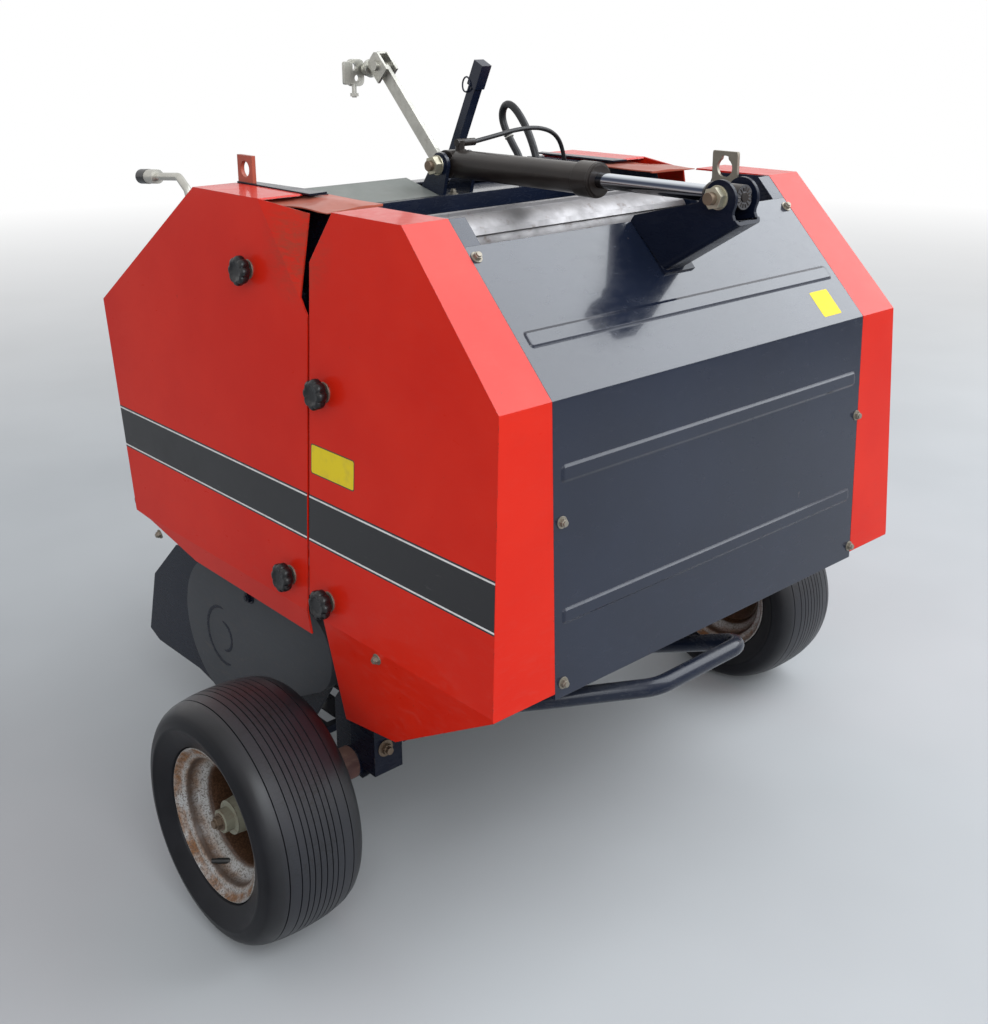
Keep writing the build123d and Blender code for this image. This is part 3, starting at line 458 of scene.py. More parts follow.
# Stripe round both covers: black film with a thin white line near each edge, stuck on the
# lower part of the side face and cut at the split between the covers.
COVER_FOOT_Y = 488.0
COVER_LEAN = 0.055
CREASE_Z = 467.0
FLAP_LEAN = math.tan(math.radians(8.0))


def cover_y(z):
    """Outer face of the covers at a height, in millimetres."""
    if z >= CREASE_Z:
        return COVER_FOOT_Y - COVER_LEAN * z
    return COVER_FOOT_Y - COVER_LEAN * CREASE_Z - FLAP_LEAN * (CREASE_Z - z)


def sheet_between(bm, low, high):
    """A closed plate between two rings of points."""
    rings = [[bm.verts.new(p) for p in ring] for ring in (low, high)]
    bm.faces.new(rings[0])
    bm.faces.new(rings[1])
    skin(bm, *rings)


def film(bm, outline, side, low, high):
    """A thin sheet on the covers' outer face: an outline in X and Z, between two lifts, mm."""
    sheet_between(bm, *([place(x, side * (cover_y(z) + lift), z) for x, z in outline]
                        for lift in (low, high)))


STRIPE_TOP = 656.0
STRIPE_FOOT = 582.0
LINE_INSET = 2.5
LINE_W = 2.6
# the rear cover's fold in X and Z, and the run and rise of the edge below it; the front
# cover's crease in X, and the run of the edge above it up to a height
REAR_EDGE = (-393, 868, 11, 416)
FRONT_EDGE = (580, 103, 845)
EDGE_GAP = 0.4


def rear_edge(z):
    """Where the stripe ends at the machine's rear."""
    x, top, run, rise = REAR_EDGE
    return x - run * (top - z) / rise + EDGE_GAP


def front_edge(z):
    """Where the stripe ends at the machine's front."""
    x, run, top = FRONT_EDGE
    return x + run * (z - CREASE_Z) / (top - CREASE_Z) - EDGE_GAP


stripe_film = Finish("stripe_film", 0.34, Coat_Weight=0.2, Coat_Roughness=0.12, Specular_IOR_Level=0.3)
stripe_scratch = stripe_film.between(stripe_film.noise(60, 6, 0.7, along=(0.5, 1, 3)), 0.62, 0.80, 0.0, 0.5)
stripe_black = stripe_film.done(
    stripe_film.mix(stripe_scratch, (0.018, 0.018, 0.020), (0.11, 0.10, 0.10)),
    stripe_film.between(stripe_film.noise(9, 5), 0.3, 0.7, 0.30, 0.46))
line_film = Finish("stripe_line", 0.45)
line_white = line_film.done(line_film.mix(
    line_film.between(line_film.noise(70, 5), 0.5, 0.75, 0.0, 0.6), (0.74, 0.72, 0.70), (0.40, 0.36, 0.33)))


def band_outline(split_x, outer_edge, low, high):
    """Outline of a level band on a cover, from the split to the cover's outer edge."""
    return [(split_x, low), (outer_edge(low), low), (outer_edge(high), high), (split_x, high)]


# body, place of the split, outer edge
for body, split_x, outer_edge in (("frame", 19.4, front_edge), ("tailgate", 13.1, rear_edge)):
    band = bmesh.new()
    lines = bmesh.new()
    for side in SIDES:
        film(band, band_outline(split_x, outer_edge, STRIPE_FOOT, STRIPE_TOP), side, -0.2, 0.15)
        for z in (STRIPE_FOOT + LINE_INSET, STRIPE_TOP - LINE_INSET - LINE_W):
            film(lines, band_outline(split_x, outer_edge, z, z + LINE_W), side, -0.1, 0.28)
    add_piece("stripe_" + body, band, stripe_black, body)
    add_piece("stripe_lines_" + body, lines, line_white, body)

# Blank yellow plates: printed film with rounded corners, left empty, one on each rear cover
# and one on the slope of the tailgate.
def rounded(x0, z0, x1, z1, radius, steps=4):
    """A rectangle with round corners, as an outline in X and Z."""
    points = []
    for cx, cz, start in ((x1 - radius, z1 - radius, 0), (x0 + radius, z1 - radius, 90),
                          (x0 + radius, z0 + radius, 180), (x1 - radius, z0 + radius, 270)):
        for k in range(steps + 1):
            a = math.radians(start + 90 * k / steps)
            points.append((cx + radius * math.cos(a), cz + radius * math.sin(a)))
    return points


label = Finish("plate_yellow", 0.42, Specular_IOR_Level=0.15)
label_yellow = label.done(label.mix(label.between(label.noise(40, 5), 0.5, 0.8, 0.0, 0.5),
                                    (0.80, 0.60, 0.02), (0.45, 0.33, 0.08)))
label_rim = Finish("plate_rim", 0.45)
label_black = label_rim.done(label_rim.mix(label_rim.noise(50), (0.015, 0.015, 0.015), (0.04, 0.035, 0.03)))
# X and Z of two opposite corners: the black rim, and the yellow face within it
SIDE_PLATE = (-99, 690, 9, 736)
SIDE_PLATE_FACE = (-97.4, 691.6, 7.4, 734.4)
rim_sheet = bmesh.new()
face_sheet = bmesh.new()
for side in SIDES:
    film(rim_sheet, rounded(*SIDE_PLATE, 4), side, -0.1, 0.12)
    film(face_sheet, rounded(*SIDE_PLATE_FACE, 3), side, -0.05, 0.2)
add_piece("side_plate_rim", rim_sheet, label_black, "tailgate")
add_piece("side_plate_face", face_sheet, label_yellow, "tailgate")

SLOPE_TOP = Vector((-227.0, 0, 1042.0))
FOLD = Vector((-393.0, 0, 868.0))
PANEL_FOOT = Vector((-404.0, 0, 452.0))
SLOPE_NORMAL = Vector((-0.7236, 0, 0.6902))
REAR_NORMAL = Vector((-0.99965, 0, 0.02643))


def on_panel(y, z, lift):
    """A point on the tailgate's outer face at a width and a height, lifted off it, mm."""
    top, foot, normal = (SLOPE_TOP, FOLD, SLOPE_NORMAL) if z > FOLD.z else (FOLD, PANEL_FOOT, REAR_NORMAL)
    point = top.lerp(foot, (top.z - z) / (top.z - foot.z)) + normal * lift
    return place(point.x, y, point.z)


slope_plate = bmesh.new()
slope_outline = rounded(-304, 879, -257, 912.5, 2.5)
sheet_between(slope_plate, *([on_panel(y, z, lift) for y, z in slope_outline] for lift in (-0.1, 0.2)))
add_piece("slope_plate_face", slope_plate, label_yellow, "tailgate")

# Star knobs: black moulded heads with eight lobes on studs, each over a pale washer; dusty,
# with a glossy skin. Small red discs close the covers where their bores are.
knob_plastic = dusty_rubber("knob_plastic", (0.007, 0.007, 0.008), (0.035, 0.03, 0.028), 0.28)


def tube_between(bm, a, b, radius, sides=32, end_radius=None):
    """A closed round or six-sided bar from point a to point b, places in the frame, radius in mm."""
    axis = (b - a).normalized()
    across = axis.orthogonal().normalized()
    other = axis.cross(across)
    rings = []
    for point, r in ((a, radius), (b, radius if end_radius is None else end_radius)):
        rings.append([point + (across * math.cos(2 * math.pi * k / sides) +
                               other * math.sin(2 * math.pi * k / sides)) * r / 1000 for k in range(sides)])
    sheet_between(bm, *rings)


def bare_steel(name, colour, stain, roughness=0.42, rust=0.35, along=(1, 1, 1)):
    """Zinc or mill steel with cloudy spangle, stains and brushed grain."""
    steel = Finish(name, roughness, 0.85)
    steel.edges(0.0008)
    cloud = steel.between(steel.noise(26, 5, 0.62), 0.3, 0.7)
    spots = steel.between(steel.noise(55, 7, 0.7), 0.58, 0.72, 0.0, rust)
    dull = tuple(c * 0.78 for c in colour)
    tint = steel.mix(steel.mix(cloud, (0.0, 0.0, 0.0), (1.0, 1.0, 1.0)), colour, dull)
    tint = steel.mix(spots, tint, stain)
    steel.bump(steel.noise(240, 3, along=along), 0.0003, 0.25)
    return steel.done(tint, steel.between(cloud, 0.0, 1.0, roughness - 0.08, roughness + 0.14),
                      steel.between(spots, 0.0, 0.6, 0.9, 0.2))


worn_zinc = bare_steel("worn_zinc", (0.33, 0.30, 0.25), (0.12, 0.08, 0.05), 0.5, 0.6)
KNOB_LOBES = 8
KNOB_R = 23.0
LOBE_DEPTH = 3.4
# height above the cover and share of the full radius, from foot to crown
KNOB_LIFTS = ((6.5, 0.62), (8, 0.84), (11, 0.97), (14, 1.0), (19, 1.0), (22, 0.93), (23.5, 0.80),
              (23.6, 0.66), (22, 0.55), (21.6, 0.3))
KNOB_NECK_R = 11
KNOB_STUD_R = 5
KNOB_WASHER_R = 15.5
BORE_LID_R = 6.5
PLATE_FACE_Y = 350.5


def star_knob(bm, x, z, side):
    """A lobed knob head on its neck, standing off a cover's face."""
    rings = []
    for lift, share in KNOB_LIFTS:
        ring = []
        for k in range(KNOB_LOBES * 12):
            a = 2 * math.pi * k / (KNOB_LOBES * 12)
            dent = max(0.0, share - 0.45) / 0.55 * (1 - abs(math.cos(KNOB_LOBES * a / 2))) ** 1.3
            r = share * KNOB_R - LOBE_DEPTH * dent
            height = z + r * math.sin(a)
            ring.append(bm.verts.new(place(x + r * math.cos(a), side * (cover_y(height) + lift), height)))
        rings.append(ring)
    bm.faces.new(rings[0])
    bm.faces.new(rings[-1])
    for low, high in zip(rings, rings[1:]):
        skin(bm, low, high)


def disc(x, z, radius, count=24):
    """A circle as an outline."""
    return [(x + radius * math.cos(2 * math.pi * k / count), z + radius * math.sin(2 * math.pi * k / count))
            for k in range(count)]


# node, body, places of the knobs, places of the covers' bores
KNOBS = (("cover_knobs_front", "frame", ((178, 968), (64, 511)), ((202, 962), (86, 498))),
         ("cover_knobs_gate", "tailgate", ((-24, 819), (-38, 502)), ((-4, 812), (-17, 489))))
for node, body, knobs, bores in KNOBS:
    heads, washers, lids = bmesh.new(), bmesh.new(), bmesh.new()
    for side in SIDES:
        for x, z in knobs:
            star_knob(heads, x, z, side)
            y = cover_y(z)
            tube_between(heads, place(x, side * (y + 2), z), place(x, side * (y + 7.5), z), KNOB_NECK_R)
            tube_between(heads, place(x, side * PLATE_FACE_Y, z), place(x, side * (y + 1), z),
                         KNOB_STUD_R, 16)
            film(washers, disc(x, z, KNOB_WASHER_R), side, 0.05, 2.4)
        for x, z in bores:
            film(lids, disc(x, z, BORE_LID_R), side, -2.9, 0.04)
    add_piece("star_knobs_" + body, heads, knob_plastic, body, smooth=40,
              stands_for=(node,))
    add_piece("knob_washers_" + body, washers, worn_zinc, body, smooth=30)
    add_piece("bore_lids_" + body, lids, red_enamel, body)

# Fixed frame, axle, hitch and pickup: cut and bent plate and square tube, sprayed a navy
# that is nearly black, glossy where it is clean; cases in grey, deck in a pale grey.
NAVY = (0.006, 0.010, 0.024)
navy_enamel = enamel("navy_enamel", NAVY, (0.009, 0.014, 0.032), (0.13, 0.09, 0.06), coat=0.45,
                     roughness=0.24, specular=0.3, dust=(0.20, 0.20, 0.21), dust_share=0.12, wear=0.4)
# a darker, less glossy navy; on the pickup cases it is also laid on the grooves' walls as painted shade
shade_enamel = enamel("shade_enamel", (0.004, 0.006, 0.015), (0.006, 0.009, 0.020), (0.13, 0.10, 0.08),
                      coat=0.25, roughness=0.26, specular=0.12, dust=(0.16, 0.16, 0.17), dust_share=0.05,
                      wear=0.5)
for node in ("pickup_plates", "stripper_bands", "wheel_brackets"):
    coat_node(node, shade_enamel)
for node in ("gate_plates", "side_plates", "top_frame", "front_panel", "axle_beam",
             "hitch_beam", "hitch_arms", "link_pins", "hitch_mast", "parking_stand",
             "twine_box", "hand_lever", "pickup_reel", "top_rails", "gate_trim"):
    coat_node(node, navy_enamel)
guard_enamel = enamel("guard_enamel", NAVY, (0.012, 0.016, 0.028), (0.20, 0.17, 0.15), coat=0.3,
                      roughness=0.22, specular=0.22, dust=(0.20, 0.19, 0.18), dust_share=0.2, wear=0.8)
coat_node("bale_guard", guard_enamel)
grey_enamel = enamel("grey_enamel", (0.040, 0.043, 0.050), (0.050, 0.053, 0.060), (0.05, 0.035, 0.03),
                     coat=0.05, roughness=0.5, specular=0.3, dust_share=0.2, wear=0.4)
for node in ("pickup_cases", "gearbox"):
    coat_node(node, grey_enamel)
deck_enamel = enamel("deck_enamel", (0.17, 0.185, 0.17), (0.21, 0.225, 0.21), (0.12, 0.08, 0.05), coat=0.1,
                     roughness=0.5)
coat_node("top_deck", deck_enamel)

# Tailgate panel: one sheet bent once, with three flat pressed ribs that run nearly from side
# to side; the same navy enamel, glossy towards the sky.
PANEL_HALF = 350.0
PANEL_T = 2.5
RIB_HALF = 336.0
RIB_BEVEL = 0.34
RIB_LIFT = 2.4


def sheet_across(bm, points, y0, y1):
    """A closed plate with an outline of points in X and Z, from one width to another, mm."""
    sheet_between(bm, *([place(p.x, y, p.z) for p in points] for y in (y0, y1)))


panel = bmesh.new()
outer = [SLOPE_TOP, FOLD.lerp(SLOPE_TOP, 0.02), FOLD + Vector((0.35, 0, -0.1)), FOLD.lerp(PANEL_FOOT, 0.011),
         PANEL_FOOT]
inner = [p + Vector((PANEL_T * 0.98, 0, -PANEL_T * 0.42)) for p in reversed(outer)]
sheet_across(panel, outer + inner, -PANEL_HALF, PANEL_HALF)


def swage(bm, z, half, width, lift):
    """A pressed rib on the panel: a closed strip with a flat top, shallow sides, round corners."""
    across = [-1, -1 + RIB_BEVEL / 2, -1 + RIB_BEVEL, 0, 1 - RIB_BEVEL, 1 - RIB_BEVEL / 2, 1]
    corner = 0.7 * width
    stations = [half - corner * (1 - math.sin(math.pi / 2 * k / 5)) for k in range(6)]
    stations = [-y for y in reversed(stations)] + stations
    rows = []
    for y in stations:
        inset = max(0.0, (abs(y) - half + corner) / corner)
        reach = 1 - 0.55 * (1 - math.sqrt(max(0.0, 1 - inset ** 2)))
        top = lift * min(1.0, (half - abs(y)) / (RIB_BEVEL * width)) - 0.2
        row = []
        for u in across:
            side_drop = max(0.0, (abs(u) - 1 + RIB_BEVEL) / RIB_BEVEL)
            height = min(top, lift * (1 - side_drop) - 0.2)
            row.append(bm.verts.new(on_panel(y, z + u * width * reach, height)))
        rows.append(row)
    for a, b in zip(rows, rows[1:]):
        skin(bm, a, b, closed=False)
    far_side = [row[-1] for row in rows[1:-1]]
    near_side = [row[0] for row in reversed(rows[1:-1])]
    bm.faces.new(rows[0] + far_side + rows[-1][::-1] + near_side)


# height of a rib's middle and half of its width
RIBS = ((933, 9.8), (768, 12.5), (569, 11.5))
for z, width in RIBS:
    swage(panel, z, RIB_HALF, width, RIB_LIFT)
panel_enamel = enamel("panel_enamel", NAVY, (0.008, 0.013, 0.030), (0.16, 0.12, 0.10), coat=0.6,
                      roughness=0.2, specular=0.4, dust=(0.20, 0.20, 0.21), dust_share=0.07, wear=0.5)
add_piece("tailgate_skin", panel, panel_enamel, "tailgate", smooth=7,
          stands_for=("tailgate_panel",))

# Bright and bare metal: the hard chromed rod, galvanised fittings, worn rollers and shafts, and
# the tailgate's lifting eye, a flat plate whose round hole has a shallow notch at its top.
zinc = bare_steel("zinc", (0.56, 0.55, 0.50), (0.20, 0.15, 0.10), 0.40, 0.30)
for node in ("crank_handle", "cross_shaft", "input_shaft"):
    coat_node(node, zinc)
rolled = bare_steel("roller_steel", (0.34, 0.33, 0.335), (0.11, 0.065, 0.05), 0.48, 0.75, along=(6, 0.3, 6))
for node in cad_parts:
    if node.startswith("roller_"):
        coat_node(node, rolled)
eye = bmesh.new()
EYE_AT = (-111.5, 1083.0)
EYE_HOLE_R = 16.0
EYE_Y = (-344, -338)
EYE_STEPS = 64
# half width, reach above and below the hole's middle
EYE_REACH = (26.5, 28.0, 43.0)
loops = ([], [])
for k in range(EYE_STEPS):
    a = 2 * math.pi * (k + 0.5) / EYE_STEPS
    c, n = math.cos(a), math.sin(a)
    r = min(EYE_HOLE_R + 4.5, max(EYE_HOLE_R, 7.5 / abs(c))) if n > 0 else EYE_HOLE_R
    reach = min(EYE_REACH[0] / abs(c), EYE_REACH[1 if n > 0 else 2] / abs(n))
    for loop, far in zip(loops, (r, reach)):
        loop.append((EYE_AT[0] + far * c, EYE_AT[1] + far * n))
rings = [[eye.verts.new(place(x, y, z)) for x, z in loop] for y in EYE_Y for loop in loops]
for a, b in ((0, 1), (2, 3), (0, 2), (1, 3)):
    skin(eye, rings[a], rings[b])
add_piece("gate_eye", eye, worn_zinc, "tailgate", smooth=30, stands_for=("gate_lifting_eye",))
# The rod's colour is painted reflection: pale sky on faces that tilt up, a dark band at the side and grey
# ground on faces below.
chrome = Finish("hard_chrome_painted_reflection", 0.08, 1.0)
tilt = chrome.axis("Z", chrome.nodes.new("ShaderNodeNewGeometry").outputs["Normal"])
painted_sky_reflection = chrome.between(tilt, 0.52, 0.86)
painted_ground_reflection = chrome.between(tilt, 0.30, 0.12, 0.0, 0.9)
chrome_smear = chrome.noise(60, 4, along=(0.3, 1, 1))
chrome_painted_reflection = chrome.mix(painted_ground_reflection, chrome.mix(painted_sky_reflection, (0.055, 0.065, 0.095), (0.70, 0.74, 0.79)),
                         (0.30, 0.29, 0.30))
coat_node("cylinder_rod", chrome.done(chrome_painted_reflection, chrome.between(chrome_smear, 0.4, 0.7, 0.07, 0.20)))

# Cylinder: barrel in worn dark brown paint with a wide ring at its gland, and a round head on
# the rod whose end is cast with rays about its middle, in the same paint.
barrel_paint = enamel("barrel_paint", (0.012, 0.009, 0.008), (0.022, 0.016, 0.014), (0.10, 0.06, 0.04),
                      coat=0.3, roughness=0.34, specular=0.25, dust_share=0.3, wear=0.7)
coat_node("cylinder_barrel", barrel_paint)
CYLINDER_Z = 1092
ROD_HEAD_R = 17.4
HEAD_RAYS = 14
RAY_REACH = (9, 14.5)
GLAND_R = 27.7


def on_cylinder(x):
    """A point on the cylinder's middle line."""
    return place(x, 0, CYLINDER_Z)


head_shell = bmesh.new()
tube_between(head_shell, on_cylinder(-351.8), on_cylinder(-408.6), ROD_HEAD_R, 40)
tube_between(head_shell, on_cylinder(-351.9), on_cylinder(-345), ROD_HEAD_R, 40, 12.6)
for k in range(HEAD_RAYS):
    a = 2 * math.pi * k / HEAD_RAYS
    ray = [place(-409, r * math.cos(a), CYLINDER_Z + r * math.sin(a)) for r in RAY_REACH]
    tube_between(head_shell, *ray, 1.1, 8)
tube_between(head_shell, on_cylinder(-408), on_cylinder(-410.5), 7, 24)
add_piece("rod_head", head_shell, barrel_paint, "rod", smooth=35)
gland = bmesh.new()
tube_between(gland, on_cylinder(-100), on_cylinder(-133), GLAND_R, 48)
tube_between(gland, on_cylinder(-132), on_cylinder(-136.4), GLAND_R, 48, 25.4)
add_piece("gland_ring", gland, barrel_paint, "barrel", smooth=25)

# Channel arm for the cylinder: two plates with round lugs and a web whose corners are bent,
# on a foot that is welded to the tailgate's slope; nearly black.
ARM_HALF = 27.0
ARM_T = 5.5
ARM_BEND = 9.0
ARM_FOOT_T = 4
WEB_TOP = Vector((-420, 0, 1056))
WEB_FOOT = Vector((-291, 0, 977.5))
LUG = Vector((-388, 0, 1090))
LUG_R = 26.5
web_out = Vector((-0.522, 0, -0.853))
plate_outline = [Vector((x, 0, z)) for x, z in ((-226.5, 1043), (-233, 1052), (-350, 1082))]
for turn in range(35, 206, 9):
    a = math.radians(turn)
    plate_outline.append(LUG + LUG_R * Vector((math.cos(a), 0, math.sin(a))))
plate_outline += [Vector((x, 0, z)) for x, z in ((-410.5, 1075), (-410, 1070), (-413, 1063))]
plate_outline += [WEB_TOP - web_out * ARM_BEND, WEB_FOOT - web_out * ARM_BEND]
arm = bmesh.new()
for y in (-ARM_HALF, ARM_HALF - ARM_T):
    sheet_across(arm, plate_outline, y, y + ARM_T)
# section of the web as width and distance outwards: the outer face, then the inner one
bent = []
for radius, turns in ((ARM_BEND, range(0, 91, 15)), (ARM_BEND - ARM_T, range(90, -1, -15))):
    corner = [(ARM_HALF - ARM_BEND + radius * math.cos(math.radians(a)),
               radius * math.sin(math.radians(a)) - ARM_BEND) for a in turns]
    bent += corner + [(-y, d) for y, d in reversed(corner)]
sheet_between(arm, *([place(p.x + web_out.x * d, y, p.z + web_out.z * d) for y, d in bent]
                     for p in (WEB_TOP, WEB_FOOT)))
foot = [SLOPE_TOP.lerp(FOLD, t) for t in (0.30, 0.405)]
foot += [p + SLOPE_NORMAL * ARM_FOOT_T for p in reversed(foot)]
sheet_across(arm, foot, -39, ARM_HALF)
add_piece("arm_skin", arm, shade_enamel, "tailgate", smooth=25, stands_for=("tailgate_arm",))

# Pins and fasteners: a headed pin through the arm's lugs and one through the base bracket, each
# with a large plated nut; rusty where their ends are bare.
ROD_PIN_X = -385
BASE_PIN_X = 205
PIN_R = 9.4
PIN_TIP_R = 8.6


def pin_bar(bm, x, y0, y1, radius=PIN_R, sides=32, end_radius=None):
    """A length of a pin across the cylinder's line, mm."""
    tube_between(bm, place(x, y0, CYLINDER_Z), place(x, y1, CYLINDER_Z), radius, sides, end_radius)


rusty = bare_steel("rusty_bolts", (0.20, 0.15, 0.11), (0.09, 0.04, 0.02), 0.55, 0.9)
pins = bmesh.new()
pin_bar(pins, ROD_PIN_X, 28, -36)
pin_bar(pins, ROD_PIN_X, -27, -37, 15, 6)
pin_bar(pins, ROD_PIN_X, 26, 50.5, end_radius=PIN_TIP_R)
add_piece("rod_pin", pins, rusty, "tailgate", smooth=30)
pins = bmesh.new()
pin_bar(pins, BASE_PIN_X, 40, 60, end_radius=PIN_TIP_R)
add_piece("base_pin_end", pins, rusty, "frame", smooth=30)


def fastener_group():
    """Node group: a hexagon head on a round washer, with the stud's end, at every point."""
    group = bpy.data.node_groups.new("fastener", "GeometryNodeTree")
    face = group.interface
    face.new_socket("Geometry", in_out="INPUT", socket_type="NodeSocketGeometry")
    for name in ("Head Radius", "Head Height", "Washer Radius", "Washer Height", "Stud Radius",
                 "Stud Reach"):
        face.new_socket(name, in_out="INPUT", socket_type="NodeSocketFloat")
    face.new_socket("Material", in_out="INPUT", socket_type="NodeSocketMaterial")
    face.new_socket("Geometry", in_out="OUTPUT", socket_type="NodeSocketGeometry")
    nodes, links = group.nodes, group.links
    given = nodes.new("NodeGroupInput").outputs

    def add(kind, **settings):
        node = nodes.new(kind)
        for key, value in settings.items():
            setattr(node, key, value)
        return node

    def total(a, b, operation="ADD"):
        node = add("ShaderNodeMath", operation=operation)
        for socket, value in zip(node.inputs, (a, b)):
            if isinstance(value, float):
                socket.default_value = value
            else:
                links.new(value, socket)
        return node.outputs[0]

    def cylinder(sides, radius, height, foot):
        node = add("GeometryNodeMeshCylinder")
        node.inputs["Vertices"].default_value = sides
        links.new(radius, node.inputs["Radius"])
        links.new(height, node.inputs["Depth"])
        lift = add("ShaderNodeCombineXYZ")
        links.new(total(foot, total(height, 0.5, "MULTIPLY")), lift.inputs["Z"])
        moved = add("GeometryNodeTransform")
        links.new(node.outputs["Mesh"], moved.inputs["Geometry"])
        links.new(lift.outputs[0], moved.inputs["Translation"])
        return moved.outputs[0]

    sunk = add("ShaderNodeValue")
    sunk.outputs[0].default_value = -0.0002
    join = add("GeometryNodeJoinGeometry")
    head_foot = given["Washer Height"]
    stud_length = total(given["Head Height"], given["Stud Reach"])
    for shape in (cylinder(24, given["Washer Radius"], given["Washer Height"], sunk.outputs[0]),
                  cylinder(6, given["Head Radius"], given["Head Height"], head_foot),
                  cylinder(16, given["Stud Radius"], stud_length, head_foot)):
        links.new(shape, join.inputs[0])
    direction = add("GeometryNodeInputNamedAttribute", data_type="FLOAT_VECTOR")
    direction.inputs["Name"].default_value = "direction"
    upright = add("FunctionNodeAlignRotationToVector", axis="Z")
    links.new(direction.outputs["Attribute"], upright.inputs["Vector"])
    spin = add("FunctionNodeRandomValue", data_type="FLOAT")
    spin.inputs[3].default_value = math.pi
    spin.inputs["Seed"].default_value = 7
    about = add("FunctionNodeAxisAngleToRotation")
    links.new(spin.outputs[1], about.inputs["Angle"])
    turned = add("FunctionNodeRotateRotation", rotation_space="LOCAL")
    links.new(upright.outputs[0], turned.inputs[0])
    links.new(about.outputs[0], turned.inputs[1])
    spread = add("GeometryNodeInstanceOnPoints")
    links.new(given["Geometry"], spread.inputs["Points"])
    links.new(join.outputs[0], spread.inputs["Instance"])
    links.new(turned.outputs[0], spread.inputs["Rotation"])
    real = add("GeometryNodeRealizeInstances")
    links.new(spread.outputs[0], real.inputs[0])
    painted = add("GeometryNodeSetMaterial")
    links.new(real.outputs[0], painted.inputs["Geometry"])
    links.new(given["Material"], painted.inputs["Material"])
    links.new(painted.outputs[0], nodes.new("NodeGroupOutput").inputs[0])
    return group


fastener = fastener_group()


def fasteners(name, rows, body, material, slot="steel", head=6.0, height=4.5, washer=8.5, thin=1.6,
              stud=4.0, reach=2.5):
    """Hexagon bolts or nuts that move with a body: rows of place in mm and outward direction.

    Radii of head, washer and stud, heights of head and washer, and the stud's reach are in mm.
    """
    mesh = bpy.data.meshes.new(name + "_spots")
    mesh.from_pydata([place(*at) for at, direction in rows], [], [])
    attribute = mesh.attributes.new("direction", "FLOAT_VECTOR", "POINT")
    for item, (at, direction) in zip(attribute.data, rows):
        item.vector = direction
    source = put(name + "_spots", mesh)
    modifier = source.modifiers.new("fasteners", "NODES")
    modifier.node_group = fastener
    sizes = {"Head Radius": head, "Head Height": height, "Washer Radius": washer, "Washer Height": thin,
             "Stud Radius": stud, "Stud Reach": reach}
    for socket in fastener.interface.items_tree:
        if socket.name in sizes:
            modifier[socket.identifier] = sizes[socket.name] / 1000
        elif socket.name == "Material":
            modifier[socket.identifier] = material
    graph = bpy.context.evaluated_depsgraph_get()
    made = bpy.data.meshes.new_from_object(source.evaluated_get(graph))
    bpy.data.objects.remove(source)
    add_piece(name, made, material, body, smooth=30)


pin_nut = dict(head=16.0, height=12.0, washer=17.0, thin=2.0, stud=8.0, reach=2.0)
nut_zinc = bare_steel("nut_zinc", (0.50, 0.47, 0.37), (0.16, 0.12, 0.07), 0.42, 0.5)
fasteners("base_pin_nut", [((BASE_PIN_X, 39, CYLINDER_Z), (0, 1, 0))], "frame", nut_zinc, **pin_nut)
fasteners("rod_pin_nut", [((ROD_PIN_X, 27, CYLINDER_Z), (0, 1, 0))], "tailgate", nut_zinc, **pin_nut)

# Bolts: plain zinc plated hexagon bolts with washers that hold the panel, the covers and the
# deck, painted ones on the cases, and a rusty one on each wheel bracket.
CASE_Y = 418.0
# slope of the covers' bent-in foot, down per unit outwards
FLAP_DOWN = -0.14


def flap_bolts(x, z):
    """A bolt on the bent-in foot of each cover."""
    return [((x, side * cover_y(z), z), (0, side, FLAP_DOWN)) for side in SIDES]


rear_bolts = [((-239.4, 340 * side, 1029), SLOPE_NORMAL) for side in SIDES]
rear_bolts += [((-397.4 - REAR_NORMAL.z * (703 - z), side * y, z), REAR_NORMAL)
               for side, y in ((1, 335), (-1, 346)) for z in (703, 473)]
fasteners("panel_bolts", rear_bolts + flap_bolts(-155, 454), "tailgate", worn_zinc)
deck_bolts = [((268, -53, 1040), (0, 0, 1)), ((206, 3, 1040), (0, 0, 1))]
fasteners("frame_bolts", deck_bolts + flap_bolts(500, 442), "frame", worn_zinc)
fasteners("bracket_bolts", [((-64.3, side * 385, 235), (-1, 0, 0)) for side in SIDES], "frame", rusty,
          head=9, height=6, washer=14, stud=6, reach=6)
case_bolts = [((266, side * CASE_Y, 388), (0, side, 0)) for side in SIDES]
fasteners("case_bolts", case_bolts, "pickup", shade_enamel, "navy_paint", head=9, height=6, washer=12.5,
          stud=5)

# Pickup cases: a round groove is pressed in each, below the reel's bearing; its two walls that
# face the rear get painted shade: thin dark crescents laid on them.
GROOVE_AT = (368.0, 275.0)
CRESCENT_STEPS = 40
CRESCENT_LIFT = 0.3
CRESCENT_SUNK = -0.8
# middle radius and half width of a crescent, where it starts and stops in degrees
CRESCENTS = ((54.5, 3.6, -112, 96), (28.0, 3.2, 84, 272))
painted_shade_crescents = bmesh.new()
for side in SIDES:
    for middle, half_w, start, stop in CRESCENTS:
        rows = []
        for k in range(CRESCENT_STEPS + 1):
            a = math.radians(start + (stop - start) * k / CRESCENT_STEPS)
            w = half_w * math.sqrt(max(0.0, 1 - (k / (CRESCENT_STEPS / 2) - 1) ** 4)) + 0.05
            row = []
            for r, lift in ((middle + w, CRESCENT_LIFT), (middle - w, CRESCENT_LIFT),
                            (middle - w, CRESCENT_SUNK), (middle + w, CRESCENT_SUNK)):
                at = (GROOVE_AT[0] + r * math.cos(a), side * (CASE_Y + lift), GROOVE_AT[1] + r * math.sin(a))
                row.append(painted_shade_crescents.verts.new(place(*at)))
            rows.append(row)
        for a, b in zip(rows, rows[1:]):
            skin(painted_shade_crescents, a, b)
        painted_shade_crescents.faces.new(rows[0])
        painted_shade_crescents.faces.new(rows[-1])
add_piece("case_groove_painted_shade", painted_shade_crescents, shade_enamel, "pickup", smooth=50)

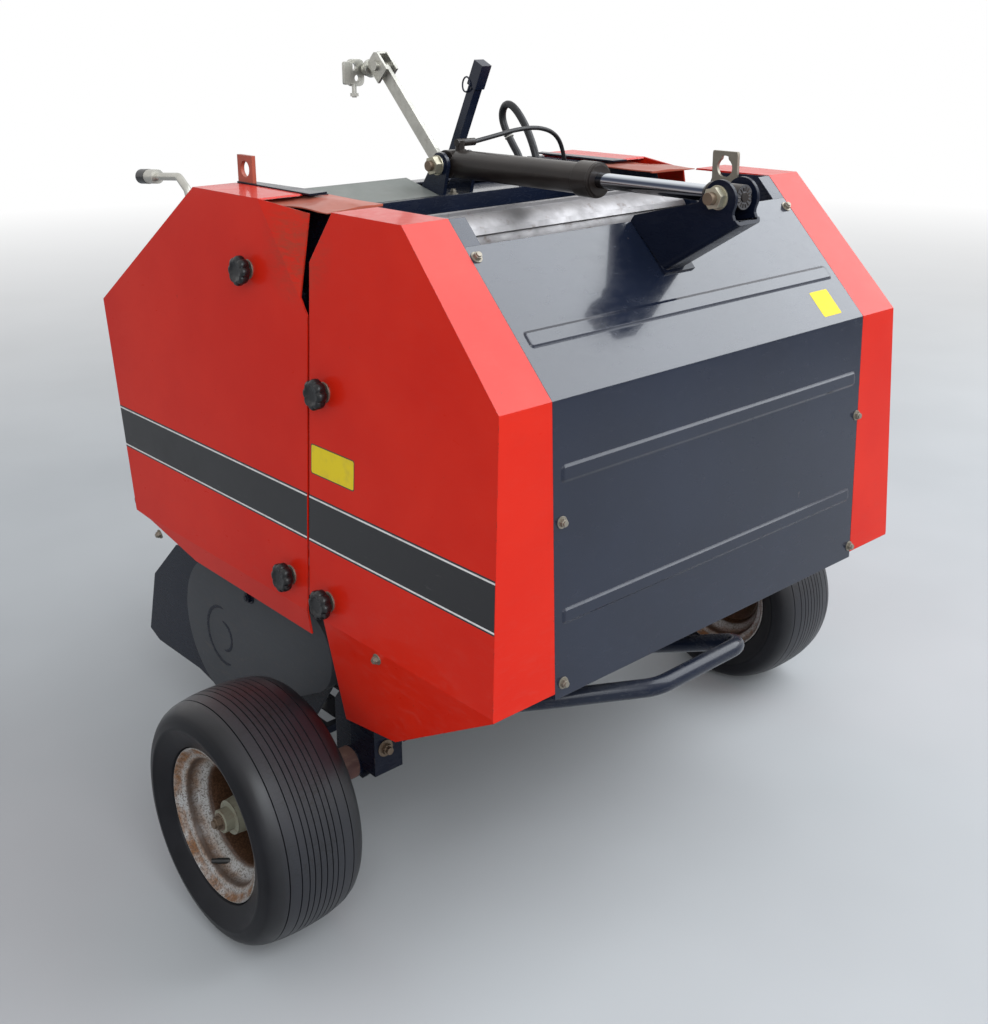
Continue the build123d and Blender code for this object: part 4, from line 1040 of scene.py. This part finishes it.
# Stay arm: flat bar pinned on the top beam, with a clevis, a clamp disc and a rounded plate
# with two holes at its end, and a short bolt that hangs from it; galvanised steel.
STAY_Y = -50.0
STAY_LOW = Vector((303, 0, 1078))
STAY_HIGH = Vector((455, 0, 1233))
along_stay = (STAY_HIGH - STAY_LOW).normalized()
across_stay = Vector((-along_stay.z, 0, along_stay.x))


def stay_plate(bm, start, stop, half_w, y0, y1, cut=0.0):
    """A flat plate beside the stay's line, with cut corners at its far end."""
    ring = [(start, -half_w), (stop - cut, -half_w), (stop, cut - half_w), (stop, half_w - cut),
            (stop - cut, half_w), (start, half_w)]
    ring = ring if cut else [ring[0], ring[2], ring[3], ring[5]]
    sheet_across(bm, [STAY_LOW + along_stay * u + across_stay * v for u, v in ring], y0, y1)


def upright_plate(bm, outline, x0, x1):
    """A closed plate with an outline in Y and Z, from one length to another, mm."""
    sheet_between(bm, *([place(x, y, z) for y, z in outline] for x in (x0, x1)))


stay = bmesh.new()
reach = (STAY_HIGH - STAY_LOW).length
stay_plate(stay, -12, reach + 12, 13, STAY_Y - 4, STAY_Y + 4)
for y in (STAY_Y - 14, STAY_Y + 9):
    stay_plate(stay, reach - 4, reach + 44, 19, y, y + 5, cut=7)
stay_plate(stay, reach + 36, reach + 41, 17, STAY_Y - 9.2, STAY_Y + 9.2)
upright_plate(stay, ((-46, 1040.2), (-32, 1040.2), (-32, 1092), (-46, 1092)), 288, 299.5)
# bars from end to end, with radius and number of sides: lower pin and its head, clevis pin and
# its head, threaded rod, clamp disc, nut, and the hanging bolt and its nut
STAY_BARS = (((303, -62, 1078), (303, -32, 1078), 5, 20), ((303, -62, 1078), (303, -56, 1078), 9, 6),
             ((471, -68, 1249), (471, -31, 1249), 6, 20), ((471, -36, 1249), (471, -30, 1249), 9.5, 24),
             ((478, -50, 1248), (531, -50, 1238), 7, 20), ((500, -50, 1244), (508, -50, 1242.5), 17, 32),
             ((514, -50, 1241), (520, -50, 1240), 12, 24), ((522, -22, 1214), (522, -22, 1190), 4.5, 16),
             ((522, -22, 1198), (522, -22, 1192), 8, 6))
for a, b, radius, sides in STAY_BARS:
    tube_between(stay, place(*a), place(*b), radius, sides)
outline = rounded(-49, 1210, -12, 1260, 11)
holes = [disc(y, z, 6.4) for y, z in ((-25, 1246), (-33, 1225))]
faces = []
for x in (526, 533):
    edges = []
    for loop in [outline] + holes:
        verts = [stay.verts.new(place(x, y, z)) for y, z in loop]
        edges += [stay.edges.new((a, b)) for a, b in zip(verts, verts[1:] + verts[:1])]
    bmesh.ops.triangle_fill(stay, edges=edges, use_beauty=True)
    faces.append(edges)
for a, b in zip(*faces):
    stay.faces.new((a.verts[0], a.verts[1], b.verts[1], b.verts[0]))
upright_plate(stay, rounded(-12.5, 1214, 3, 1256, 4), 518, 524)
upright_plate(stay, rounded(-20, 1216, -8, 1254, 3), 522, 527)
add_piece("stay_skin", stay, zinc, "frame", smooth=30, stands_for=("stay_arm",))

# Small fittings on top: black strips on the covers' upper edge, a cap on the crank's grip,
# a wire loop on the hand lever, and a pale tie round the thick hose.
RING_STEPS = 28
WIRE_SIDES = 8


def wire_ring(bm, centre, normal, radius, wire):
    """A closed ring of round wire about a place in the frame, radii in mm."""
    normal = normal.normalized()
    across = normal.orthogonal().normalized()
    other = normal.cross(across)
    rows = []
    for k in range(RING_STEPS):
        a = 2 * math.pi * k / RING_STEPS
        out = across * math.cos(a) + other * math.sin(a)
        row = []
        for j in range(WIRE_SIDES):
            b = 2 * math.pi * j / WIRE_SIDES
            row.append(bm.verts.new(centre + out * (radius + wire * math.cos(b)) / 1000 +
                                    normal * wire * math.sin(b) / 1000))
        rows.append(row)
    for a, b in zip(rows, rows[1:] + rows[:1]):
        skin(bm, a, b)


STRIP_RISE = Vector((0, 0, 0.003))
strips = bmesh.new()
for side in SIDES:
    low = [place(x, side * y, 1076) for x, y in ((345, 346), (340, 328), (130, 318), (126, 352))]
    sheet_between(strips, low, [p + STRIP_RISE for p in low])
add_piece("edge_strips", strips, shade_enamel, "frame")
cap = bmesh.new()
tube_between(cap, place(684, 330, 1057.1), place(713, 330, 1054.9), 13.6, 32)
add_piece("crank_cap", cap, knob_plastic, "frame", smooth=35)
loop = bmesh.new()
wire_ring(loop, place(277, -90, 1219), Vector((0.2, 1, 0.1)), 13, 1.6)
add_piece("lever_loop", loop, navy_enamel, "frame", smooth=60)
tie_plastic = Finish("tie_plastic", 0.5)
tie_white = tie_plastic.done(tie_plastic.mix(tie_plastic.noise(80), (0.62, 0.60, 0.55), (0.40, 0.37, 0.32)))
tie = bmesh.new()
for centre in ((316, -230.5, 1116), (319, -230, 1121)):
    wire_ring(tie, place(*centre), Vector((0.55, 0.08, 0.83)), 7.8, 1.5)
add_piece("hose_tie", tie, tie_white, "frame", smooth=60)

# Wheels: pressed rims in pale enamel, rusty in the dish, with a valve; smooth implement
# tyres with fine grooves round the tread, cracked with age between them.
WHEEL_Y = 589.0
TYRE_R = 190.0
TREAD_HALF = 60
GROOVES = (-54, -36, -24, -15, -5, 5, 15, 24, 36, 54)
GROOVE_W = 0.9
GROOVE_DEPTH = 2.4


def crown(y):
    """Radius of the tread at a distance from the tyre's middle."""
    return TYRE_R - 6.0 * (abs(y) / TREAD_HALF) ** 2.6


def tyre_section():
    """The tyre from bead to bead as radius and width, closed inside the rim."""
    wall = [(102.2, 50), (103, 54), (111, 57.5), (116.5, 61.5), (119.4, 66), (120.6, 70.5), (124, 73),
            (133, 77.5), (143, 82.3), (150, 84.8), (151, 85.5), (154.5, 85.5), (155.5, 84.9), (162, 83.6),
            (169, 80.4), (175, 75.6), (180, 69.2)]
    tread = []
    for g in reversed(GROOVES):
        middle = TREAD_HALF if g == GROOVES[-1] else g + GROOVE_W * 3
        tread += [(crown(middle), middle)]
        tread += [(crown(g + GROOVE_W), g + GROOVE_W), (crown(g) - GROOVE_DEPTH, g + GROOVE_W * 0.5),
                  (crown(g) - GROOVE_DEPTH, g - GROOVE_W * 0.5), (crown(g - GROOVE_W), g - GROOVE_W)]
    tread += [(crown(TREAD_HALF), -TREAD_HALF)]
    return wall + tread + [(r, -w) for r, w in reversed(wall)]


# sections as radius and width: half of the rim, from its well out to the flange and back on
# the tyre's side, and the whole disc
RIM_HALF_SECTION = [
    (77, 24), (79.5, 29), (87, 34.5), (94.5, 41), (96.2, 50), (97.8, 56), (101, 59.2), (108, 61.2),
    (111.5, 63.2), (113, 66), (114.6, 68.2), (116.4, 69), (117.9, 68), (118, 66), (116, 63.6), (112, 60.5),
    (104, 58), (101.4, 55), (99.6, 44), (96, 38), (88, 31), (82, 26), (80.5, 22)]
RIM_SECTION = RIM_HALF_SECTION + [(r, -w) for r, w in reversed(RIM_HALF_SECTION)]
DISC_SECTION = [
    (38.3, -5.6), (50, -5.6), (58, -6.2), (63, -9), (68, -14), (73, -17.6), (77.2, -18.2), (78, -21),
    (73, -22.8), (66, -19), (60, -13.5), (56, -11), (38.3, -11)]


def revolved(bm, section, side, steps):
    """Turns a closed section of (radius, width) round the wheels' axis at one side, mm."""
    rings = []
    for k in range(steps):
        a = 2 * math.pi * k / steps
        rings.append([bm.verts.new(place(r * math.cos(a), side * (WHEEL_Y + w), TYRE_R + r * math.sin(a)))
                      for r, w in section])
    for a, b in zip(rings, rings[1:] + rings[:1]):
        skin(bm, a, b)


def tyre_finish():
    """Black rubber: even on the walls, greyed and finely cracked on the tread."""
    rubber = Finish("tyre_rubber", 0.42, Specular_IOR_Level=0.5)
    radius = rubber.from_axle()
    tread = rubber.between(radius, 0.183, 0.187)
    net = rubber.between(rubber.cracks(150, (1, 0.55, 1)), 0.0, 0.09, 1.0, 0.0)
    patch = rubber.between(rubber.noise(9, 4), 0.46, 0.60)
    net = rubber.times(net, tread, patch)
    cloud = rubber.between(rubber.noise(14, 5), 0.40, 0.75)
    tint = rubber.mix(rubber.times(cloud, 0.25), (0.008, 0.008, 0.010), (0.034, 0.034, 0.040))
    tint = rubber.mix(rubber.times(tread, 0.35), tint, (0.026, 0.028, 0.038))
    tint = rubber.mix(net, tint, (0.006, 0.006, 0.006))
    rubber.bump(net, 0.0008, -0.6)
    rubber.bump(rubber.noise(600, 2), 0.0002, 0.3)
    shine = rubber.between(radius, 0.170, 0.185, 0.16, 0.5)
    rubber.links.new(shine, rubber.surface.inputs["Specular IOR Level"])
    return rubber.done(tint, rubber.between(cloud, 0.0, 1.0, 0.36, 0.50))


def rim_finish():
    """Pale enamel, speckled with rust, brown along each step and in the dish."""
    rim = Finish("rim_enamel", 0.5, Specular_IOR_Level=0.4, Coat_Weight=0.08)
    radius = rim.from_axle()
    bloom = rim.noise(24, 6, 0.7)
    fine = rim.noise(330, 4, 0.7)
    silver = rim.mix(rim.between(bloom, 0.35, 0.65), (0.42, 0.41, 0.40), (0.26, 0.235, 0.20))
    speckled = rim.mix(rim.between(fine, 0.50, 0.60, 0.0, 0.85), silver, (0.075, 0.050, 0.036))
    orange = rim.mix(rim.between(fine, 0.42, 0.58), (0.24, 0.105, 0.038), (0.12, 0.060, 0.030))
    step = rim.times(rim.between(radius, 0.0940, 0.0965), rim.between(radius, 0.1000, 0.0975))
    flange = rim.times(rim.between(radius, 0.1035, 0.108), rim.between(radius, 0.1172, 0.1155))
    halo = rim.times(rim.between(radius, 0.088, 0.096), rim.between(radius, 0.104, 0.098))
    rust = rim.math("MAXIMUM", flange, rim.times(halo, 0.8))
    rust = rim.times(rust, rim.between(bloom, 0.36, 0.56))
    tint = rim.mix(rust, speckled, orange)
    tint = rim.mix(rim.times(step, 0.9), tint, (0.045, 0.024, 0.014))
    dish = rim.between(radius, 0.0835, 0.0795)
    brown = rim.mix(rim.between(fine, 0.45, 0.62), (0.042, 0.019, 0.009), (0.10, 0.05, 0.028))
    tint = rim.mix(dish, tint, brown)
    rim.bump(fine, 0.0004, 0.4)
    return rim.done(tint, rim.between(rust, 0.0, 1.0, 0.34, 0.75))


tyre_black = tyre_finish()
rim_pale = rim_finish()
hub_enamel = enamel("hub_enamel", (0.24, 0.24, 0.18), (0.19, 0.18, 0.13), (0.09, 0.045, 0.022), coat=0.0,
                    roughness=0.55, dust=(0.12, 0.06, 0.03), dust_share=0.6, wear=1.0)
flaked = enamel("flaked_enamel", (0.006, 0.008, 0.016), (0.20, 0.085, 0.06), (0.16, 0.08, 0.06), coat=0.1,
                roughness=0.5, specular=0.2, dust=(0.20, 0.12, 0.09), dust_share=0.9, wear=1.0)
valve_rubber = dusty_rubber("valve_rubber", (0.012, 0.012, 0.012), (0.05, 0.04, 0.03), 0.5)
TYRE_STEPS = 224
RIM_STEPS = 128
HUB_STEPS = 48
NUT_COUNT = 4
NUT_CIRCLE_R = 47
DISC_FACE = -5.4
AXLE_END = 55.4
CAP_SECTION = [(26.3, 38.2), (26.3, 40), (17.8, 40.6), (17.8, 54.6), (16.4, AXLE_END), (0.5, AXLE_END),
               (0.5, 38.2)]
VALVE_FOOT = (16, 618, 100)
VALVE_TIP = (35, 646, 103)
BOSS_SECTION = [(26.4, -181), (26.4, -139.5), (24, -138.7), (15.2, -138.7), (15.2, -181)]
for name, side in (("left", 1), ("right", -1)):
    body = "wheel_" + name
    tyre = bmesh.new()
    revolved(tyre, tyre_section(), side, TYRE_STEPS)
    add_piece("tyre_skin_" + name, tyre, tyre_black, body, smooth=38, stands_for=("tyre_" + name,))
    rim = bmesh.new()
    revolved(rim, RIM_SECTION, side, RIM_STEPS)
    revolved(rim, DISC_SECTION, side, RIM_STEPS)
    add_piece("rim_skin_" + name, rim, rim_pale, body, smooth=40, stands_for=("rim_" + name,))
    coat_node("hub_" + name, hub_enamel)
    nuts = []
    for k in range(NUT_COUNT):
        a = math.radians(45 + 360 / NUT_COUNT * k)
        at = (NUT_CIRCLE_R * math.cos(a), side * (WHEEL_Y + DISC_FACE), TYRE_R + NUT_CIRCLE_R * math.sin(a))
        nuts.append((at, (0, side, 0)))
    fasteners("wheel_nuts_" + name, nuts, body, rusty, head=9.5, height=8, washer=11, stud=6, reach=4)
    cap = bmesh.new()
    revolved(cap, CAP_SECTION, side, HUB_STEPS)
    add_piece("axle_cap_" + name, cap, hub_enamel, "frame", smooth=35)
    axle_nut = [((0, side * (WHEEL_Y + AXLE_END), TYRE_R), (0, side, 0))]
    fasteners("axle_nut_" + name, axle_nut, "frame", rusty, head=10, height=7, washer=13.5, thin=1.5,
              stud=6.5, reach=4)
    boss = bmesh.new()
    revolved(boss, BOSS_SECTION, side, HUB_STEPS)
    add_piece("boss_sleeve_" + name, boss, flaked, "frame", smooth=35)
    valve = bmesh.new()
    base, tip = (place(x, side * y, z) for x, y, z in (VALVE_FOOT, VALVE_TIP))
    tube_between(valve, base, base.lerp(tip, 0.75), 4.8, 20, 4.2)
    tube_between(valve, base.lerp(tip, 0.66), tip, 3.6, 20)
    add_piece("valve_" + name, valve, valve_rubber, body, smooth=40)
